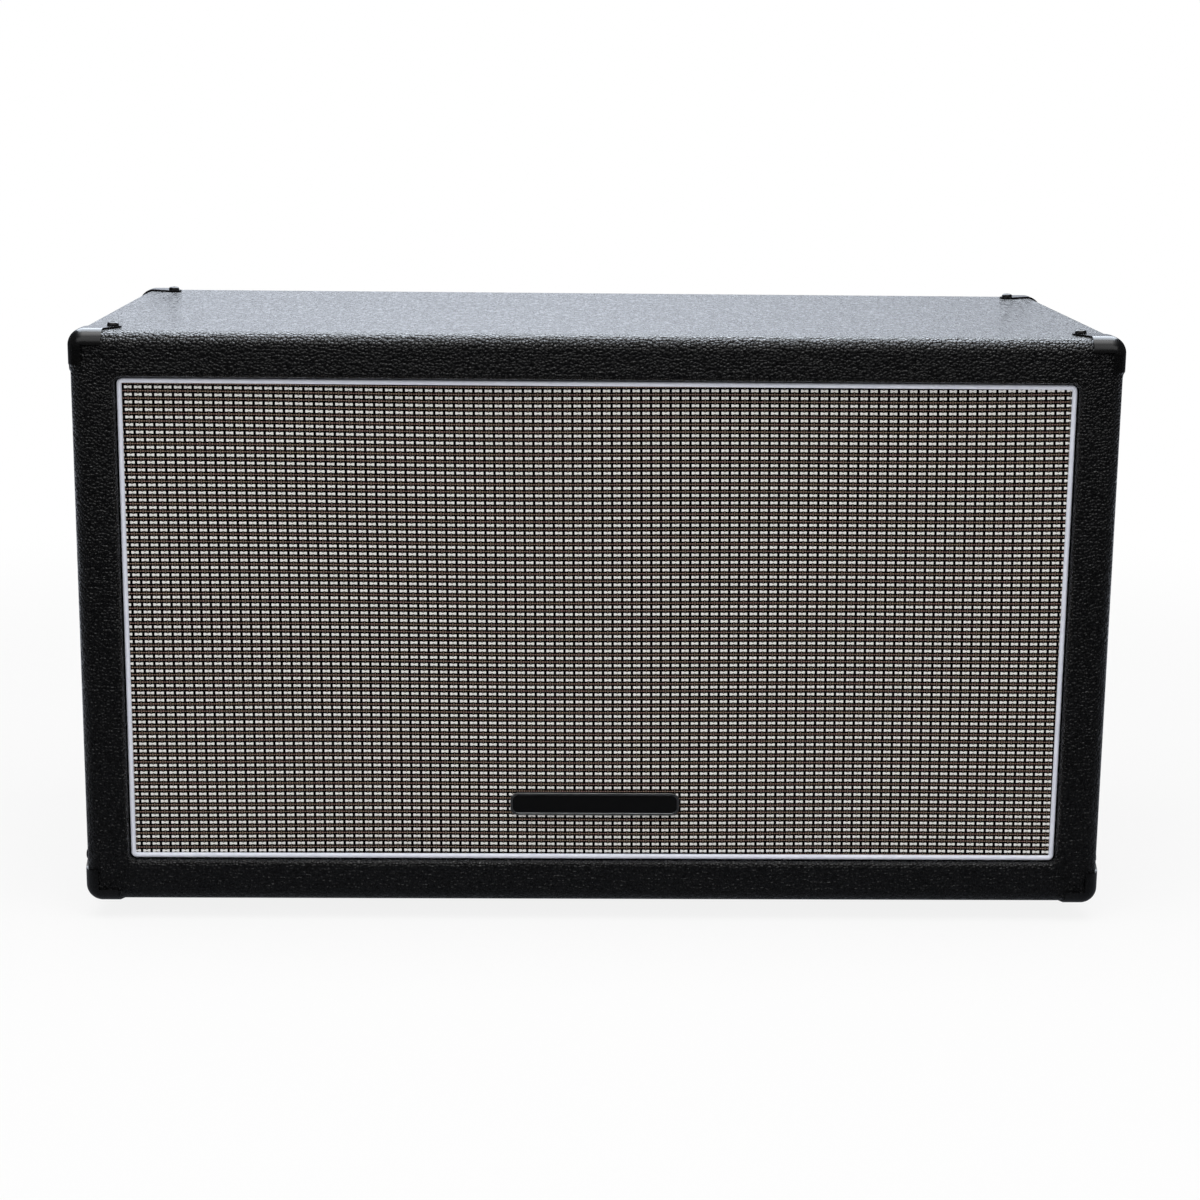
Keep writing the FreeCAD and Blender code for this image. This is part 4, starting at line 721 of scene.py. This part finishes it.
def weave(bm):
    """Sways the threads and trims them to the cloth's edges."""
    for vert in bm.verts:
        across, up = sway(vert.co.x, vert.co.z)
        vert.co.x += across
        vert.co.z += up
    trim(bm, (cloth_low.x, 0, 0), (-1, 0, 0))
    trim(bm, (cloth_high.x, 0, 0), (1, 0, 0))
    trim(bm, (0, 0, cloth_low.z), (0, 0, -1))
    trim(bm, (0, 0, cloth_high.z), (0, 0, 1))


print(f"sway in the middle {sway(0, CLOTH_MIDDLE)[0] / MM:.1f} mm across")

# %% [markdown]
# ### Thread finishes
# Rayon floats are bright with a soft sheen and fine fibres along the thread. The beads of the taupe thread
# catch the light, and that light is painted: its colour follows an attribute that is high on each bead, a
# pale warm painted highlight, with painted shade between the beads. The black warp and the backing are dull.

# %% Mix the threads
ALONG_X, ALONG_Z = (0.15, 1, 1), (1, 1, 0.15)
FIBRE_DEPTH_MM = 0.06
BEAD_TINT_MM = 14


def thread_finish(name, low, high, fibre_mm, roughness, gloss, along):
    """Thread with fine fibres that run along it."""
    material, tree, shader, where = start_finish(name, roughness, specular=gloss)
    drawn = node(tree, "ShaderNodeMapping", {"Vector": where, "Scale": along})[0]
    spacing = {"Vector": drawn, "Scale": per_metre(fibre_mm), "Detail": 2.0}
    fibres = node(tree, "ShaderNodeTexNoise", spacing)["Fac"]
    tone = node(tree, "ShaderNodeValToRGB", {"Fac": fibres}, stops=((0.25, low), (0.7, high)))["Color"]
    dress_surface(tree, shader, tone, fibres, FIBRE_DEPTH_MM)
    return material


# Rayon: bright white, with a soft sheen along the fibres
white_rayon = thread_finish("white_rayon", "#dddcda", "#f5f3f0", 0.35, 0.5, 0.3, ALONG_X)
# Black cotton: the dull dark ground that the white stands out from
black_cotton = thread_finish("black_cotton", "#040303", "#0a0909", 0.3, 0.9, 0.03, ALONG_Z)
# Thin tie cotton: grey brown and matt, so it parts each float in two
tie_cotton = thread_finish("tie_cotton", "#4c443d", "#6f665c", 0.3, 0.8, 0.1, ALONG_Z)
# Taupe cotton: painted shade, dark brown, between the beads and a warm painted highlight on them
taupe_cotton = thread_finish("taupe_cotton", "#2a211c", "#3d322b", 0.3, 0.8, 0.1, ALONG_X)
tree = taupe_cotton.node_tree
base = tree.nodes["Principled BSDF"].inputs["Base Color"]
# Painted highlight: the bead attribute turns the colour pale and warm on each bead, painted shade between
bead = node(tree, "ShaderNodeAttribute", attribute_name="bead")["Fac"]
where = node(tree, "ShaderNodeTexCoord")["Object"]
slow = node(tree, "ShaderNodeTexNoise", {"Vector": where, "Scale": per_metre(BEAD_TINT_MM)})["Fac"]
bead_highlight_taupes = ((0.35, "#c0a68e"), (0.65, "#bb938b"))
warm = node(tree, "ShaderNodeValToRGB", {"Fac": slow}, stops=bead_highlight_taupes)["Color"]
tone = node(tree, "ShaderNodeMix", {0: bead, 6: base.links[0].from_socket, 7: warm}, data_type="RGBA")[2]
tree.links.new(tone, base)
print("four threads")

# %% [markdown]
# ### Backing
# The backing is the dark ground of the weave: one flat sheet, thin, at the back of the space that the CAD
# cloth holds.

# %% Lay the backing
BACKING_DEPTH = 0.85 * MM
bm = bmesh.new()
bmesh.ops.create_grid(
    bm,
    x_segments=24,
    y_segments=12,
    size=0.5,
    matrix=Matrix.Translation((0, CLOTH_FACE + BACKING_DEPTH, CLOTH_MIDDLE))
    @ FLAT_TO_FRONT
    @ Matrix.Diagonal((CLOTH_WIDTH, CLOTH_HEIGHT, 1, 1)),
)
backing = add_piece("grille_cloth_backing", bm, black_cotton)
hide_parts("grille_cloth")
print("backing faces", len(backing.data.polygons))

# %% [markdown]
# ### White floats
# A float is a small pillow that lies on the backing: a grid of two by six faces, puffed up in the middle of
# each half and narrowed at the pinch.

# %% Weave the floats
FLOAT_LENGTH = 5.35 * MM
FLOAT_WIDTH = 2.2 * MM
FLOAT_RISE = 0.75 * MM
# From the middle of a float to its end: the place along it, its width and its height, as shares
PINCH = ((0.0, 0.42, 0.6), (0.15, 0.78, 0.88), (0.36, 1.0, 1.0), (0.5, 0.8, 0.35))
HALF_STEPS = len(PINCH) - 1
bm = bmesh.new()
bmesh.ops.create_grid(bm, x_segments=2 * HALF_STEPS, y_segments=2, size=1)
for vert in bm.verts:
    column = round(vert.co.x * HALF_STEPS)
    row = round(vert.co.y)
    place, width, rise = PINCH[abs(column)]
    vert.co.x = math.copysign(place, column) * FLOAT_LENGTH
    vert.co.y = row * width * FLOAT_WIDTH / 2
    vert.co.z = rise * FLOAT_RISE if row == 0 else 0
# The lowest float on the left. One of the spare rows lies above the top margin
first_place = Vector(
    (
        -(COLUMNS - 1) / 2 * COLUMN_STEP,
        CLOTH_FACE + FLOAT_RISE,
        cloth_high.z - TOP_MARGIN - (ROWS - 2) * ROW_STEP,
    )
)
stand_up(bm, first_place)
repeat(bm, COLUMNS, (COLUMN_STEP, 0, 0))
repeat(bm, ROWS, (0, 0, ROW_STEP))
weave(bm)
floats = add_piece("white_floats", bm, white_rayon)
print("float faces", len(floats.data.polygons))

# %% [markdown]
# ### Taupe thread
# Between the rows of floats runs a beaded thread, four beads to a float. One repeat is a strip eight faces
# long whose middle line rises at each bead. Its neighbours are welded to it where the repeats meet.

# %% Weave the taupe thread
BEADS = 4
TAUPE_WIDTH = 0.95 * MM
TAUPE_RISE = 0.5 * MM
# Width and height between beads, height of the thread's edges, painted highlight of a dimmer bead, as shares
NECK_WIDTH, NECK_RISE, EDGE_RISE, DIMMER_BEAD_HIGHLIGHT = 0.45, 0.55, 0.1, 0.8
THREAD_SEAT = CLOTH_FACE + BACKING_DEPTH - 0.05 * MM
WELD_REPEATS = 0.01 * MM
bm = bmesh.new()
bead_highlight_layer = bm.verts.layers.float.new("bead")
bmesh.ops.create_grid(bm, x_segments=2 * BEADS, y_segments=2, size=1)
for vert in bm.verts:
    step = round((vert.co.x + 1) * BEADS)
    row = round(vert.co.y)
    crest = 1 - step % 2
    # Painted highlight on the crest of each bead, every other bead a little dimmer, none between beads
    vert[bead_highlight_layer] = crest * (1.0 if step % BEADS == 0 else DIMMER_BEAD_HIGHLIGHT)
    vert.co.x = (vert.co.x / 2) * COLUMN_STEP
    vert.co.y = row * (NECK_WIDTH + (1 - NECK_WIDTH) * crest) * TAUPE_WIDTH / 2
    vert.co.z = TAUPE_RISE * ((NECK_RISE + (1 - NECK_RISE) * crest) if row == 0 else EDGE_RISE)
stand_up(bm, (first_place.x, THREAD_SEAT, first_place.z - ROW_STEP / 2))
repeat(bm, COLUMNS, (COLUMN_STEP, 0, 0))
bmesh.ops.remove_doubles(bm, verts=bm.verts, dist=WELD_REPEATS)
repeat(bm, ROWS + 1, (0, 0, ROW_STEP))
weave(bm)
taupe = add_piece("taupe_thread", bm, taupe_cotton)
print("taupe faces", len(taupe.data.polygons))

# %% [markdown]
# ### Tie and warp threads
# A thin tie thread runs up the middle of each column of floats. It dives under each float and comes up over
# the taupe thread. A black warp thread fills the gap between two columns.

# %% Weave the upright threads
# Height of a thread's edges as a share of its middle
SHOULDER = 0.4


def upright_threads(name, finish, width, crest, trough, start_x, count):
    """Upright threads with one wave to each row of floats."""
    bm = bmesh.new()
    bmesh.ops.create_grid(bm, x_segments=2, y_segments=4, size=1)
    for vert in bm.verts:
        column = round(vert.co.x)
        wave = 0.5 - 0.5 * math.cos(math.pi * (vert.co.y + 1))
        middle = trough + (crest - trough) * (1 - wave)
        vert.co.x = column * width / 2
        vert.co.y = vert.co.y / 2 * ROW_STEP
        vert.co.z = middle if column == 0 else SHOULDER * middle
    stand_up(bm, (start_x, THREAD_SEAT, first_place.z))
    repeat(bm, ROWS, (0, 0, ROW_STEP))
    bmesh.ops.remove_doubles(bm, verts=bm.verts, dist=WELD_REPEATS)
    repeat(bm, count, (COLUMN_STEP, 0, 0))
    weave(bm)
    return add_piece(name, bm, finish)


ties = upright_threads(
    "tie_threads",
    tie_cotton,
    width=0.62 * MM,
    crest=0.72 * MM,
    trough=0.1 * MM,
    start_x=first_place.x,
    count=COLUMNS,
)
warp = upright_threads(
    "warp_threads",
    black_cotton,
    width=1.3 * MM,
    crest=0.3 * MM,
    trough=0.45 * MM,
    start_x=first_place.x - COLUMN_STEP / 2,
    count=COLUMNS + 1,
)
print("tie faces", len(ties.data.polygons), "warp faces", len(warp.data.polygons))
